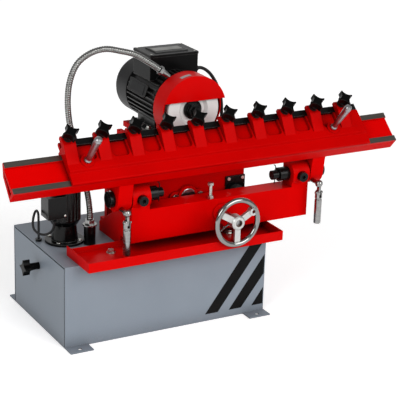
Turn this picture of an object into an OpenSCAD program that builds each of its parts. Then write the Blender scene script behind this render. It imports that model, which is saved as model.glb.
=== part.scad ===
// Planer knife grinder: a tilting slide beam carries the knife holder past a cup wheel.
// Millimetres, +Z up, +X along the beam. The origin is the centre of the four foot holes, on the floor.

/* [Base cabinet] */
// Length of the cabinet along X
tank_l = 500; // [440:1:560]
// Depth of the cabinet along Y
tank_d = 288; // [260:1:320]
// Height of the cabinet
tank_h = 189; // [175:1:205]
// Sheet thickness of cabinet, drawer front and tray
sheet = 2; // [1.5:0.5:3]
// Length of a foot flange along X
foot_l = 54; // [48:1:70]
// Reach of a foot flange beyond the cabinet
foot_d = 32; // [28:1:44]
// Thickness of a foot flange
foot_t = 3; // [2:0.5:5]
// Diameter of a foot hole
foot_hole_d = 10; // [8:0.5:14]
// Distance of a foot hole from the cabinet's end
foot_hole_in = 27; // [20:0.5:32]
// Distance of a foot hole beyond the cabinet's face
foot_hole_out = 18; // [14:0.5:24]

/* [Coolant drawer] */
// Running gap round the drawer
drawer_gap = 3; // [0.5:0.1:4]
// Length of the coolant pan
pan_l = 430; // [380:1:440]
// Height of the coolant pan
pan_h = 110; // [80:1:130]
// Wall of the coolant pan
pan_wall = 2; // [1.5:0.5:3]
// Height of the pull knob above the floor
pull_z = 142; // [126:1:156]

/* [Drip tray] */
// Length of the tray
tray_l = 480; // [440:1:500]
// Left end of the tray
tray_x = -217; // [-240:1:-200]
// Front of the tray
tray_y = -193; // [-205:1:-180]
// Height of the tray's lip
tray_lip = 22; // [15:1:24]
// Height of the tray's rear lip
tray_rear_lip = 14; // [8:1:16]
// Depth of the tray
tray_d = 115; // [100:1:118]
// Distance of the tray's bolts from its ends
tray_bolt_in = 92; // [80:1:100]

/* [Main frame] */
// Left end of the frame
frame_x = -86; // [-92:1:-80]
// Length of the frame
frame_l = 452; // [446:1:460]
// Front face of the frame
frame_y = -128; // [-132:1:-124]
// Height of the frame's top above the cabinet
frame_rise = 97; // [93:1:101]
// Height of the front plate's lower edge above the cabinet
frame_clear = 24; // [23:1:29]
// Thickness of the front plate and the cheeks
frame_t = 12; // [8:1:16]
// Depth of the top flange
flange_d = 48; // [44:1:52]
// Thickness of the top flange
flange_t = 8; // [6:1:12]
// Length of a cheek's foot on the cabinet
cheek_d = 110; // [80:1:130]
// Right face of the right cheek
cheek_right = 250; // [240:1:250]
// Width of an ear
ear_w = 44; // [38:1:48]
// Depth of an ear
ear_d = 40; // [36:1:46]
// Height of an ear's centre above the frame's top
ear_rise = 28; // [24:1:34]
// Radius of an ear's round boss
ear_r = 29; // [26:1:34]

/* [Pivot] */
// Diameter of the pivot shafts
pivot_d = 22; // [18:1:26]
// Running clearance on the pivot shafts and the lead screw
run_gap = 0.05; // [0.02:0.01:0.1]
// Seat clearance of pieces that don't move
seat_gap = 0.02; // [0.01:0.01:0.05]
// Width of a lug on the beam
lug_w = 34; // [30:1:38]
// Gap between a lug and its ear
lug_gap = 2; // [1:0.5:4]
// Radius of a lug's boss
lug_r = 28; // [24:1:30]
// Width of a set collar
collar_w = 11; // [8:1:14]
// Outer diameter of a set collar
collar_d = 36; // [30:1:42]
// Length of the spacer inside an ear
spacer_w = 25; // [16:1:32]
// Outer diameter of the spacer inside an ear
spacer_d = 32; // [28:1:38]

/* [Swing beam] */
// Left end of the beam
beam_x = -371; // [-390:1:-350]
// Length of the beam
beam_l = 955; // [930:1:980]
// Angle of the beam's top at rest
beam_angle = 41.5; // [40:0.1:43]
// Width of the beam's top
beam_w = 77; // [72:1:80]
// Thickness of the beam's front
beam_t = 32; // [28:1:36]
// Position of the beam's front top edge along Y
beam_y = -162; // [-166:1:-160]
// Height of the beam's front top edge above the cabinet
beam_rise = 188.5; // [185:0.5:193]
// Width of a slide way
way_w = 13.5; // [10:0.5:16]
// Height of a slide way above the beam's floor
way_h = 5; // [3:0.5:8]

/* [Knife holder] */
// Left end of the holder
holder_x = -242; // [-256:1:-230]
// Length of the holder
holder_l = 748; // [730:1:766]
// Running gap between the holder and the ways
slide_gap = 0.3; // [0.2:0.05:0.5]
// Width of the front band that covers the front way
band_w = 24; // [18:1:28]
// Thickness of the front band
band_t = 8; // [6:1:11]
// Thickness of the raised panel
panel_t = 15; // [13:1:18]
// Thickness at the floor of the pockets
pocket_t = 8; // [6:1:10]
// Reach of the holder up the slope
holder_w = 102; // [98:1:104]
// Number of clamping fingers
finger_n = 10; // [6:1:10]
// Width of a finger
finger_w = 28; // [24:1:28]
// Reach of a finger past the holder's rear edge
finger_over = 5; // [0:1:8]
// Height of a finger
finger_t = 30; // [27:1:36]
// Width of the clamp bar
bar_w = 15; // [12:1:16]
// Thickness of the clamp bar
bar_t = 8; // [6:1:9]
// Distance from the holder's left end to the first finger's middle
finger_left = 14; // [14:1:24]
// Distance from the holder's right end to the last finger's middle
finger_right = 49; // [40:1:56]

/* [Clamp knobs] */
// Diameter of a knob over its lobes
knob_d = 38; // [34:1:44]
// Height of a knob's star
knob_t = 16; // [12:1:18]
// Height of a knob's neck
knob_neck = 10; // [8:1:16]
// Angle of a tightened knob's lobes to the beam
knob_turn = 10; // [0:1:45]
// Diameter of a knob's stud
knob_stud_d = 8; // [6:1:10]

/* [Push handles] */
// Length of a push handle
grip_l = 86; // [70:1:100]
// Diameter of a push handle's free end
grip_d = 17; // [14:1:22]
// Diameter of a push handle's root
grip_root_d = 12; // [10:1:14]
// Distance of the left handle from the holder's left end
grip_left = 46; // [44:1:52]
// Distance of the right handle from the holder's right end
grip_right = 86; // [80:1:92]

/* [Lock levers] */
// Diameter of a lock lever's stud
lever_stud_d = 10; // [8:1:12]
// Diameter of the ball on the stud
lever_ball_d = 18; // [15:1:22]
// Length of a lever handle below its groove
lever_l = 60; // [50:1:62]
// Diameter of a lever handle
lever_d = 17; // [14:1:18]
// Length of a lever handle's forked top
fork_l = 20; // [16:1:22]

/* [Saddle and infeed] */
// Middle of the saddle along X
saddle_x = 87; // [85:1:89]
// Half width of the saddle
saddle_half = 147; // [146:1:148]
// Front face of the saddle
saddle_y = -60; // [-62:1:-58]
// Thickness of the saddle's plates
saddle_t = 12; // [8:1:14]
// Height of the saddle's lower edge above the cabinet
saddle_clear = 22; // [17:1:27]
// Distance of each guide rod from the saddle's middle
rod_out = 123; // [122:1:124]
// Height of the guide rods above the cabinet
rod_rise = 81; // [79:1:82]
// Diameter of the guide rods
rod_d = 25; // [20:1:30]
// Length of a guide sleeve
sleeve_l = 60; // [44:1:66]
// Wall of a guide sleeve
sleeve_wall = 9; // [6:1:10]
// Width of a bellows plate on the saddle
plate_w = 50; // [44:1:52]
// Height of a bellows plate
plate_h = 60; // [54:1:64]
// Thickness of a bellows plate
plate_t = 4; // [3:0.5:5]
// Diameter of the folded bellows
bellows_d = 40; // [36:1:44]
// Length of the folded bellows
bellows_l = 8; // [6:0.5:9]
// Folds of each bellows
bellows_n = 3; // [2:1:4]
// Guide flange position along X
flange_x = 84; // [78:1:86]
// Height of the guide flange above the cabinet
flange_rise = 91; // [87:1:95]
// Distance of a guide flange's bolt from its middle
flange_bolt_out = 32; // [32:1:36]
// Lead screw position along X
screw_x = 136; // [132:1:140]
// Height of the lead screw above the cabinet
screw_rise = 65; // [63:1:67]
// Lead screw diameter
screw_d = 16; // [12:1:20]
// Diameter of the handwheel over its rim
wheel_d = 114; // [100:1:118]
// Diameter of the handwheel's rim section
rim_d = 12; // [10:1:13]
// Middle plane of the handwheel's rim
rim_y = -203; // [-206:1:-202]
// Front of the handwheel's hub
hub_y = -212; // [-216:1:-210]
// Length of the handwheel's hub
hub_l = 24; // [20:1:28]
// Diameter of the screw's neck between hub and frame
neck_d = 21; // [19:1:24]
// Diameter of the handwheel's hub
hub_d = 32; // [28:1:38]
// Spokes of the handwheel
spoke_n = 3; // [3:1:5]

/* [Motor and wheel] */
// Spindle position along X
spindle_x = 102; // [98:1:106]
// Height of the spindle above the cabinet
spindle_rise = 285; // [281:1:289]
// Diameter of the motor over its fins
motor_d = 138; // [132:2:142]
// Height of the fins
fin_h = 8; // [5:1:10]
// Fins round the motor
fin_n = 36; // [20:2:44]
// Front of the motor's body
motor_y = 12; // [10:1:16]
// Length of the finned body
motor_l = 140; // [132:1:148]
// Length of the fan cover
fan_l = 66; // [56:1:76]
// Diameter of the motor shaft
shaft_d = 20; // [16:1:22]
// Diameter of the grinding wheel
stone_d = 127; // [120:1:132]
// Thickness of the grinding wheel
stone_t = 32; // [25:1:34]
// Front face of the grinding wheel
stone_y = -52; // [-54:1:-50]
// Diameter of the wheel flange
stone_flange_d = 44; // [38:1:50]
// Gap between wheel and guard
guard_gap = 13; // [8:1:15]
// Sheet thickness of the guard
guard_t = 2.5; // [2:0.5:4]
// Height of the guard's front edge above the spindle
guard_edge = 22; // [16:1:30]
// Width of the terminal box
box_w = 122; // [110:1:126]
// Depth of the terminal box
box_d = 82; // [70:1:86]
// Height of the terminal box above the fins
box_h = 40; // [36:1:46]
// Depth of the terminal box below the top of the fins
box_drop = 20; // [14:1:22]
// Thickness of the terminal box lid
lid_t = 8; // [6:1:12]

/* [Coolant pump] */
// Pump position along X
pump_x = -185; // [-190:1:-180]
// Pump position along Y
pump_y = 6; // [2:1:10]
// Diameter of the pump's flange
pump_flange_d = 88; // [84:1:88]
// Diameter of the pump's motor
pump_d = 72; // [64:1:76]
// Height of the pump's motor
pump_h = 104; // [90:1:112]
// Height of the neck under the pump's motor
pump_neck = 42; // [34:1:50]
// Depth of the pump's stem below the cabinet's top
stem_h = 120; // [100:1:140]
// Diameter of the riser pipe
riser_d = 26; // [22:1:30]
// Height of the riser pipe above the cabinet
riser_h = 44; // [38:1:50]
// Outer diameter of the gooseneck hose
hose_d = 14; // [12:1:16]
// Bore of the gooseneck hose
hose_bore = 8; // [6:1:9]
// Ribs of the gooseneck hose
hose_ribs = 150; // [60:1:190]

/* [Hidden] */
$fn = 48;
eps = 0.01;
half_l = tank_l / 2;
half_d = tank_d / 2;
foot_x = half_l - foot_hole_in;
foot_y = half_d + foot_hole_out;
tray_bolt_y = -108;
tray_floor = tank_h + sheet;
frame_top = tank_h + frame_rise;
frame_z = tank_h + frame_clear;
beam_z = tank_h + beam_rise;
saddle_z = tank_h + saddle_clear;
rod_z = tank_h + rod_rise;
flange_z = tank_h + flange_rise;
screw_z = tank_h + screw_rise;
spindle_z = tank_h + spindle_rise;
frame_x1 = frame_x + frame_l;
ear_z = frame_top + ear_rise;
ear_y = frame_y + ear_d / 2 + 2;
spot_y = ear_y - ear_r + 2.5;
pivot_r = pivot_d / 2;
lug_left = frame_x - lug_gap - lug_w;
lug_right = frame_x1 + lug_gap;
beam_back_u = beam_w * 0.73;
beam_back_n = -beam_t * 0.74;
flange_back = frame_y + flange_d;
post_d = 12;
post_w = 40;
cheek_y = tray_y + tray_d + 4;
rod_xs = [saddle_x - rod_out, saddle_x + rod_out];
rod_r = rod_d / 2;
bush_r = 14;
bush_flange = 4;
nut_r = 13;
nut_l = 34;
thrust_gap = 0.3;
rear_y = saddle_y + saddle_t + sleeve_l + 40;
plate_z = spindle_z - motor_d / 2 - 2;
saddle_top = plate_z - saddle_t;
saddle_shoulder = saddle_top - 60;
plate_half = 74;
gusset_out = 85;
entry_l = 18;
shaft_r = shaft_d / 2;
stone_r = stone_d / 2;
guard_r = stone_r + guard_gap + guard_t;
guard_back = stone_y + stone_t + 12;
motor_r = motor_d / 2;
motor_back = motor_y + motor_l;
box_y = motor_y + 34;
box_z = spindle_z + motor_r;
gland_y = 76;
gland_z = spindle_z + 59;
foot_bolt_x = 62;
foot_bolt_ys = [motor_y + 32, motor_y + 100];
pitch_fingers = (holder_l - finger_left - finger_right) / (finger_n - 1);
finger_xs = [for (i = [0 : finger_n - 1]) holder_x + finger_left + i * pitch_fingers];
grip_xs = [holder_x + grip_left, holder_x + holder_l - grip_right];
bar_u = holder_w - bar_w;
tip_u = holder_w + finger_over;
stud_u = holder_w - knob_stud_d / 2 - 1;
lever_xs = [lug_left + lug_w * 0.3, lug_right + lug_w * 0.25];
lever_z = ear_z - 17;
lever_y = ear_y - 52;
lever_stud_l = 58;
tongue_t = 5;
pin_r = 3;
pin_drop = 21;
screw_r = screw_d / 2;
riser_p = [-142, -34];
grommet_h = 6;
pump_gland = [-226, -30];
pump_gland_z = tank_h + pump_neck + 22;
lead_d = 8;
pump_lead_d = 5.5;
// A route whose heights are counted from a level
function raised(p, z) = [for (q = p) [q[0], q[1], q[2] + z]];
// Half a loop of lead that leaves a point on a heading, below it or above it
function half_loop(p, dir, z, turn) = [for (a = [30 : 30 : 150])
    let (out = loop_r * (1 - cos(a)))
    [p[0] + dir[0] * out, p[1] + dir[1] * out, z + turn * loop_r * sin(a)]];
// Gooseneck hose: from the riser, up behind the beam, over in an arch to the nozzle
HOSE = raised([[riser_p[0], riser_p[1], riser_h + 14], [-142, -34, 72], [-142, -28, 97], [-142, -14, 127],
    [-144, 2, 162], [-152, 8, 207], [-164, 8, 242], [-173, 6, 272], [-179, 2, 320], [-177, -4, 366],
    [-164, -12, 405], [-138, -20, 428], [-106, -28, 437], [-72, -34, 431], [-38, -40, 421], [-3, -44, 399],
    [18, -44, 384]], tank_h);
nozzle_p = HOSE[len(HOSE) - 1];
nozzle_dir = nozzle_p - HOSE[len(HOSE) - 2];
// Motor lead: from the gland on the terminal box down to the gland on the saddle's gusset
MOTOR_LEAD = raised([[179, gland_y, 59], [190, 76, 58], [206, 76, 49], [222, 76, 31], [236, 76, 6],
    [245, 76, -22], [248, 76, -54], [245, 74, -82], [236, 70, -104], [222, 66, -117], [206, 64, -121],
    [190, 64, -121]], spindle_z);
lead_end = MOTOR_LEAD[len(MOTOR_LEAD) - 1];
// Pump lead: out of the cone gland, down and up again in two half loops, and into the cabinet's top
loop_r = 23;
loop_z = pump_gland_z - 9;
loop_out = [-0.88, 0.475];
loop_back = [0.62, 0.785];
loop_p = pump_gland + 2 * loop_r * loop_out;
grommet_p = loop_p + 2 * loop_r * loop_back;
PUMP_LEAD = concat([[pump_gland[0], pump_gland[1], pump_gland_z], [pump_gland[0], pump_gland[1], loop_z]],
    half_loop(pump_gland, loop_out, loop_z, -1), [[loop_p[0], loop_p[1], loop_z]],
    half_loop(loop_p, loop_back, loop_z, 1), [[grommet_p[0], grommet_p[1], loop_z],
    [grommet_p[0], grommet_p[1], tank_h + 30], [grommet_p[0], grommet_p[1], tank_h + grommet_h]]);

// Points into the beam's own frame: u up the slope, n square to the slide ways
module on_beam() {
    translate([0, beam_y, beam_z])
        rotate([beam_angle, 0, 0])
            children();
}

// A profile drawn in u and n, drawn out along X
module along_x(x, l) {
    translate([x, 0, 0])
        rotate([90, 0, 90])
            linear_extrude(l)
                children();
}

// A cylinder along +Y
module rod_y(x, y, z, r, l) {
    translate([x, y, z])
        rotate([-90, 0, 0])
            cylinder(r = r, h = l);
}

// A cylinder along +X
module rod_x(x, y, z, r, l) {
    translate([x, y, z])
        rotate([0, 90, 0])
            cylinder(r = r, h = l);
}

// A revolved profile with its axis along +Y
module turned_y(x, y, z) {
    translate([x, y, z])
        rotate([-90, 0, 0])
            rotate_extrude()
                children();
}

// A hexagon bolt head with its washer, standing on z
module hex_head(p, across, h) {
    translate(p)
        cylinder(d = across * 1.55, h = h * 0.25);
    translate([p[0], p[1], p[2] + h * 0.25])
        cylinder(d = across * 1.15, h = h * 0.75, $fn = 6);
}

// Sweeping of round tubes along a route
function unit(v) = v / norm(v);
function smooth_at(p, i, t) = let (
        a = p[max(i - 1, 0)],
        b = p[i],
        c = p[min(i + 1, len(p) - 1)],
        d = p[min(i + 2, len(p) - 1)])
    0.5 * (2 * b + (c - a) * t + (2 * a - 5 * b + 4 * c - d) * t * t + (3 * b - a - 3 * c + d) * t * t * t);
function route_at(p, s) = let (i = min(floor(s), len(p) - 2)) smooth_at(p, i, s - i);
function route_dir(p, s) = unit(route_at(p, min(s + 0.02, len(p) - 1)) - route_at(p, max(s - 0.02, 0)));
function ring(c, d, r, sides) = let (
        side = unit(cross(d, [0.3, 1, 0.1])),
        up = cross(side, d))
    [for (k = [0 : sides - 1]) c + r * (side * cos(360 * k / sides) + up * sin(360 * k / sides))];
function tube_points(p, stops, radii, sides) =
    [for (i = [0 : len(stops) - 1])
        each ring(route_at(p, stops[i]), route_dir(p, stops[i]), radii[i], sides)];
function quad_faces(rows, sides, first, flip) = [for (i = [0 : rows - 2], k = [0 : sides - 1], half = [0, 1])
    let (
        a = first + i * sides + k,
        b = first + i * sides + (k + 1) % sides,
        tri = half == 0 ? [a, b, b + sides] : [a, b + sides, a + sides])
    flip ? [tri[2], tri[1], tri[0]] : tri];

// A plain round lead swept along its route
module lead(p, d, step) {
    sides = 8;
    stops = [for (s = [0 : step : len(p) - 1 + eps]) min(s, len(p) - 1)];
    points = tube_points(p, stops, [for (s = stops) d / 2], sides);
    last = (len(stops) - 1) * sides;
    caps = [for (k = [1 : sides - 2]) each [[0, k + 1, k], [last, last + k, last + k + 1]]];
    polyhedron(points, concat(quad_faces(len(stops), sides, 0, false), caps));
}

// A ribbed tube with its bore, swept along its route
module ribbed_hose(p, d, bore, ribs) {
    sides = 8;
    span = len(p) - 1;
    outer = [for (i = [0 : 2 * ribs]) i * span / (2 * ribs)];
    radii = [for (i = [0 : 2 * ribs]) i % 2 == 0 ? d / 2 - 1 : d / 2];
    inner = [for (i = [0 : 3 * span]) i / 3];
    out_points = tube_points(p, outer, radii, sides);
    in_points = tube_points(p, inner, [for (s = inner) bore / 2], sides);
    base = len(out_points);
    out_last = (len(outer) - 1) * sides;
    in_last = base + (len(inner) - 1) * sides;
    mouths = [for (k = [0 : sides - 1]) let (n = (k + 1) % sides) each [
        [k, base + k, base + n], [k, base + n, n],
        [out_last + k, in_last + n, in_last + k], [out_last + k, out_last + n, in_last + n]]];
    polyhedron(concat(out_points, in_points), concat(quad_faces(len(outer), sides, 0, false),
        quad_faces(len(inner), sides, base, true), mouths));
}

// Base

module foot(sx, sy) {
    x0 = sx > 0 ? half_l - foot_l : -half_l;
    y0 = sy > 0 ? half_d : -half_d - foot_d;
    difference() {
        translate([x0, y0, 0])
            cube([foot_l, foot_d, foot_t]);
        translate([sx * foot_x, sy * foot_y, -1])
            cylinder(d = foot_hole_d, h = foot_t + 2);
    }
}

module base_cabinet() color("#8a939c") {
    difference() {
        translate([-half_l, -half_d, 0])
            cube([tank_l, tank_d, tank_h]);
        translate([-half_l - 1, -half_d + sheet, sheet])
            cube([tank_l - sheet + 1, tank_d - 2 * sheet, tank_h - 2 * sheet]);
        translate([pump_x, pump_y, tank_h - sheet - 1])
            cylinder(d = 60, h = sheet + 2);
    }
    for (sx = [-1, 1], sy = [-1, 1])
        foot(sx, sy);
}

module coolant_drawer() color("#76878f") {
    front_h = tank_h - 2 * sheet - drawer_gap - slide_gap;
    front_d = tank_d - 2 * sheet - 2 * drawer_gap;
    pan_d = front_d - 6;
    pan_z = sheet + slide_gap;
    translate([-half_l, -front_d / 2, pan_z])
        cube([sheet, front_d, front_h]);
    difference() {
        translate([-half_l + sheet, -pan_d / 2, pan_z])
            cube([pan_l, pan_d, pan_h]);
        translate([-half_l + sheet + pan_wall, -pan_d / 2 + pan_wall, pan_z + pan_wall])
            cube([pan_l - 2 * pan_wall, pan_d - 2 * pan_wall, pan_h]);
    }
}

// Outline of a knob with four narrow lobes between hollow flanks
module star(d) {
    difference() {
        circle(d = d);
        for (a = [45 : 90 : 315])
            rotate(a)
                translate([d * 0.76, 0])
                    circle(d = d);
    }
}

module drawer_knob() color("#141414") {
    translate([-half_l, 0, pull_z])
        rotate([0, -90, 0]) {
            cylinder(d = 16, h = 22);
            translate([0, 0, 22])
                linear_extrude(knob_t)
                    star(knob_d - 2);
        }
}

module drip_tray() color("#d40000") {
    difference() {
        translate([tray_x, tray_y, tank_h])
            cube([tray_l, tray_d, tray_lip]);
        translate([tray_x + sheet, tray_y + sheet, tray_floor])
            cube([tray_l - 2 * sheet, tray_d - 2 * sheet, tray_lip]);
        translate([tray_x + sheet, tray_y + tray_d - sheet - 1, tank_h + tray_rear_lip])
            cube([tray_l - 2 * sheet, sheet + 2, tray_lip]);
    }
}

module tray_bolts() color("#b8b8b8") {
    for (x = [tray_x + tray_bolt_in, tray_x + tray_l - tray_bolt_in])
        hex_head([x, tray_bolt_y, tray_floor], 13, 8);
}

// Frame

module ear(x) {
    difference() {
        along_x(x, ear_w)
            union() {
                translate([ear_y, ear_z])
                    intersection() {
                        circle(r = ear_r);
                        translate([-ear_r, -ear_r])
                            square([ear_r + ear_d / 2 - 2, 2 * ear_r]);
                    }
                translate([frame_y, frame_top - flange_t])
                    square([ear_d, ear_rise + flange_t]);
            }
        rod_x(x - 1, ear_y, ear_z, pivot_r + seat_gap, ear_w + 2);
        rod_y(x + ear_w / 2, spot_y - 3, ear_z - 2, 12.5, 3);
        rod_y(x + ear_w / 2, spot_y - 1, ear_z - 2, 5 + seat_gap, ear_y - spot_y - pivot_r - 2);
    }
}

module rod_post(x) {
    post_z = rod_z - post_w / 2;
    translate([x - post_w / 2, flange_back - post_d, post_z])
        cube([post_w, post_d, frame_top - post_z]);
}

module cheek(x) {
    along_x(x, frame_t)
        polygon([[frame_y + frame_t - eps, frame_z], [cheek_y, frame_z], [cheek_y, tank_h],
            [cheek_y + cheek_d, tank_h], [cheek_y + cheek_d, tank_h + 22], [flange_back, frame_top],
            [frame_y + frame_t - eps, frame_top]]);
}

module main_frame() color("#d40000") {
    difference() {
        union() {
            translate([frame_x, frame_y, frame_z])
                cube([frame_l, frame_t, frame_top - frame_z]);
            for (z = [frame_z, frame_top - flange_t])
                translate([frame_x, frame_y, z])
                    cube([frame_l, flange_d, flange_t]);
            for (x = [frame_x, cheek_right - frame_t])
                cheek(x);
            for (x = [frame_x, frame_x1 - ear_w])
                ear(x);
            for (x = rod_xs)
                rod_post(x);
        }
        rod_y(screw_x, frame_y - 1, screw_z, bush_r + seat_gap, frame_t + 2);
        for (x = rod_xs)
            rod_y(x, flange_back - post_d - eps, rod_z, rod_r + seat_gap, post_d + 2);
    }
}

module pivot_shafts() color("#1a1a1a") {
    rod_x(lug_left - collar_w - 2, ear_y, ear_z, pivot_r, lug_w + lug_gap + ear_w + collar_w + 42);
    rod_x(frame_x1 - ear_w - 42, ear_y, ear_z, pivot_r, lug_w + lug_gap + ear_w + collar_w + 44);
}

module set_collar(x, d, w) {
    difference() {
        rod_x(x, ear_y, ear_z, d / 2, w);
        rod_x(x - 1, ear_y, ear_z, pivot_r + seat_gap, w + 2);
        for (a = [35, 155])
            translate([x + w / 2, ear_y, ear_z])
                rotate([a, 0, 0])
                    translate([0, -d, 0])
                        rotate([-90, 0, 0])
                            cylinder(r = 2.5, h = d / 2 + 4);
    }
}

module shaft_collars() color("#161616") {
    for (x = [lug_left - collar_w - 0.5, lug_right + lug_w + 0.5])
        set_collar(x, collar_d, collar_w);
    for (x = [frame_x + ear_w + 0.3, frame_x1 - ear_w - spacer_w - 0.3])
        set_collar(x, spacer_d, spacer_w);
}

module ear_screws() color("#161616") {
    for (x = [frame_x + ear_w / 2, frame_x1 - ear_w / 2])
        difference() {
            union() {
                rod_y(x, spot_y - 12, ear_z - 2, 11, 12);
                rod_y(x, spot_y - eps, ear_z - 2, 5, ear_y - spot_y - pivot_r - 4);
            }
            translate([x, spot_y - 13, ear_z - 2])
                rotate([-90, 0, 0])
                    cylinder(d = 11, h = 8, $fn = 6);
        }
}

module stop_bolt() color("#b8b8b8") {
    p = [spindle_x + 12, frame_y + 10, frame_top];
    translate(p)
        cylinder(d = 15, h = 7, $fn = 6);
    translate(p)
        cylinder(d = 8, h = 31);
    translate([p[0], p[1], p[2] + 31])
        cylinder(d = 15, h = 6, $fn = 6);
}

module rear_bracket() color("#c00000") {
    difference() {
        translate([saddle_x - saddle_half, rear_y, tank_h])
            cube([2 * saddle_half, saddle_t, rod_z - tank_h + 22]);
        for (x = rod_xs)
            rod_y(x, rear_y - 1, rod_z, rod_r + seat_gap, saddle_t + 2);
        translate([saddle_x - 60, rear_y - 1, tank_h + 30])
            cube([120, saddle_t + 2, 50]);
    }
    translate([saddle_x - saddle_half, rear_y, tank_h])
        cube([2 * saddle_half, 34, saddle_t]);
}

module guide_rods() color("#b4b6b8") {
    for (x = rod_xs)
        rod_y(x, flange_back - post_d, rod_z, rod_r, rear_y + saddle_t - flange_back + post_d);
}

module bellows_plates() color("#161616") {
    for (x = rod_xs)
        difference() {
            translate([x - plate_w / 2, saddle_y - plate_t, rod_z - plate_h / 2 + 10])
                cube([plate_w, plate_t, plate_h]);
            rod_y(x, saddle_y - plate_t - 1, rod_z, rod_r + 1, plate_t + 2);
        }
}

module bellows(x) {
    fold = bellows_l / bellows_n;
    fold_h = 3;
    y0 = saddle_y - plate_t - bellows_l;
    difference() {
        union() {
            for (i = [0 : bellows_n - 1])
                rod_y(x, y0 + i * fold, rod_z, bellows_d / 2, fold * 0.5);
            rod_y(x, y0, rod_z, bellows_d / 2 - fold_h, bellows_l);
        }
        rod_y(x, y0 - 1, rod_z, rod_r + 1, bellows_l + 2);
    }
}

module bellows_left() color("#181818") bellows(rod_xs[0]);

module bellows_right() color("#181818") bellows(rod_xs[1]);

module screw_bush() color("#a8894a") {
    difference() {
        union() {
            rod_y(screw_x, frame_y, screw_z, bush_r, frame_t);
            rod_y(screw_x, frame_y - bush_flange, screw_z, bush_r + 6, bush_flange);
        }
        rod_y(screw_x, frame_y - bush_flange - 1, screw_z, screw_r + run_gap, frame_t + bush_flange + 2);
    }
}

module infeed_lock() color("#c8c8c6") {
    p = [screw_x, frame_y - 20, frame_z + 9];
    rod_y(p[0], p[1], p[2], 4, 20);
    translate(p)
        rotate([0, 55, 0])
            cylinder(r = 2.5, h = 28, center = true);
}

// Saddle

module saddle() color("#d40000") {
    x0 = saddle_x - saddle_half;
    x1 = saddle_x + saddle_half;
    inside_y = saddle_y + saddle_t - eps;
    sleeve_back = saddle_y + saddle_t + sleeve_l;
    difference() {
        union() {
            translate([0, saddle_y + saddle_t, 0])
                rotate([90, 0, 0])
                    linear_extrude(saddle_t)
                        polygon([[x0, saddle_z], [x1, saddle_z], [x1, saddle_shoulder],
                            [spindle_x + plate_half, saddle_top], [spindle_x - plate_half, saddle_top],
                            [x0, saddle_shoulder]]);
            translate([spindle_x - plate_half, guard_back + 3, saddle_top])
                cube([2 * plate_half, motor_back - guard_back - 3, saddle_t]);
            for (x = [saddle_x - gusset_out, saddle_x + gusset_out - saddle_t])
                along_x(x, saddle_t)
                    polygon([[inside_y, saddle_z], [sleeve_back - 4, saddle_z], [sleeve_back - 4, rod_z + 30],
                        [motor_back - 20, saddle_top - 14], [motor_back - 20, saddle_top + eps],
                        [inside_y, saddle_top + eps]]);
            for (x = rod_xs)
                rod_y(x, inside_y, rod_z, rod_r + sleeve_wall, sleeve_l);
            translate([screw_x - 20, inside_y, saddle_z])
                cube([40, nut_l, screw_z - saddle_z + 20]);
            rod_x(saddle_x + gusset_out - eps, lead_end[1], lead_end[2], 7, entry_l);
        }
        for (x = rod_xs)
            rod_y(x, saddle_y - 1, rod_z, rod_r + run_gap, sleeve_l + saddle_t + 2);
        rod_y(screw_x, saddle_y - 1, screw_z, nut_r + seat_gap, saddle_t + nut_l + 2);
        rod_y(flange_x, saddle_y - 1, flange_z, 15, saddle_t + 2);
    }
}

module guide_flange() color("#c00000") {
    difference() {
        union() {
            rod_y(flange_x, saddle_y - 10, flange_z, 24, 10);
            for (sx = [-1, 1])
                rod_y(flange_x + sx * flange_bolt_out, saddle_y - 6, flange_z, 12, 6);
            translate([flange_x - flange_bolt_out, saddle_y - 6, flange_z - 12])
                cube([2 * flange_bolt_out, 6, 24]);
        }
        for (sx = [-1, 1])
            rod_y(flange_x + sx * flange_bolt_out, saddle_y - 7, flange_z, 4 + seat_gap, 8);
        rod_y(flange_x, saddle_y - 11, flange_z, 15, 6);
    }
}

module flange_bolts() color("#8c8c8c") {
    for (sx = [-1, 1]) {
        translate([flange_x + sx * flange_bolt_out, saddle_y - 6, flange_z])
            rotate([90, 30, 0])
                cylinder(d = 16, h = 5, $fn = 6);
        rod_y(flange_x + sx * flange_bolt_out, saddle_y - 6 - eps, flange_z, 4, 6);
    }
    for (x = rod_xs, sx = [-1, 1])
        rod_y(x + sx * 18, saddle_y - plate_t - 2, rod_z + plate_h / 2 + 4, 4, 2);
}

module lead_nut() color("#a8894a") {
    difference() {
        rod_y(screw_x, saddle_y + saddle_t, screw_z, nut_r, nut_l);
        rod_y(screw_x, saddle_y, screw_z, screw_r + run_gap, saddle_t + nut_l + 10);
    }
}

module lead_screw() color("#a0a2a4") {
    hub_back = hub_y + hub_l;
    bush_front = frame_y - bush_flange - thrust_gap;
    rod_y(screw_x, hub_y + 6, screw_z, screw_r - 1, hub_l);
    rod_y(screw_x, hub_back, screw_z, neck_d / 2, bush_front - hub_back);
    rod_y(screw_x, bush_front - eps, screw_z, screw_r, rear_y - frame_y - 20);
    rod_y(screw_x, frame_y + frame_t + thrust_gap, screw_z, neck_d / 2 + 4, 8);
}

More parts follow.
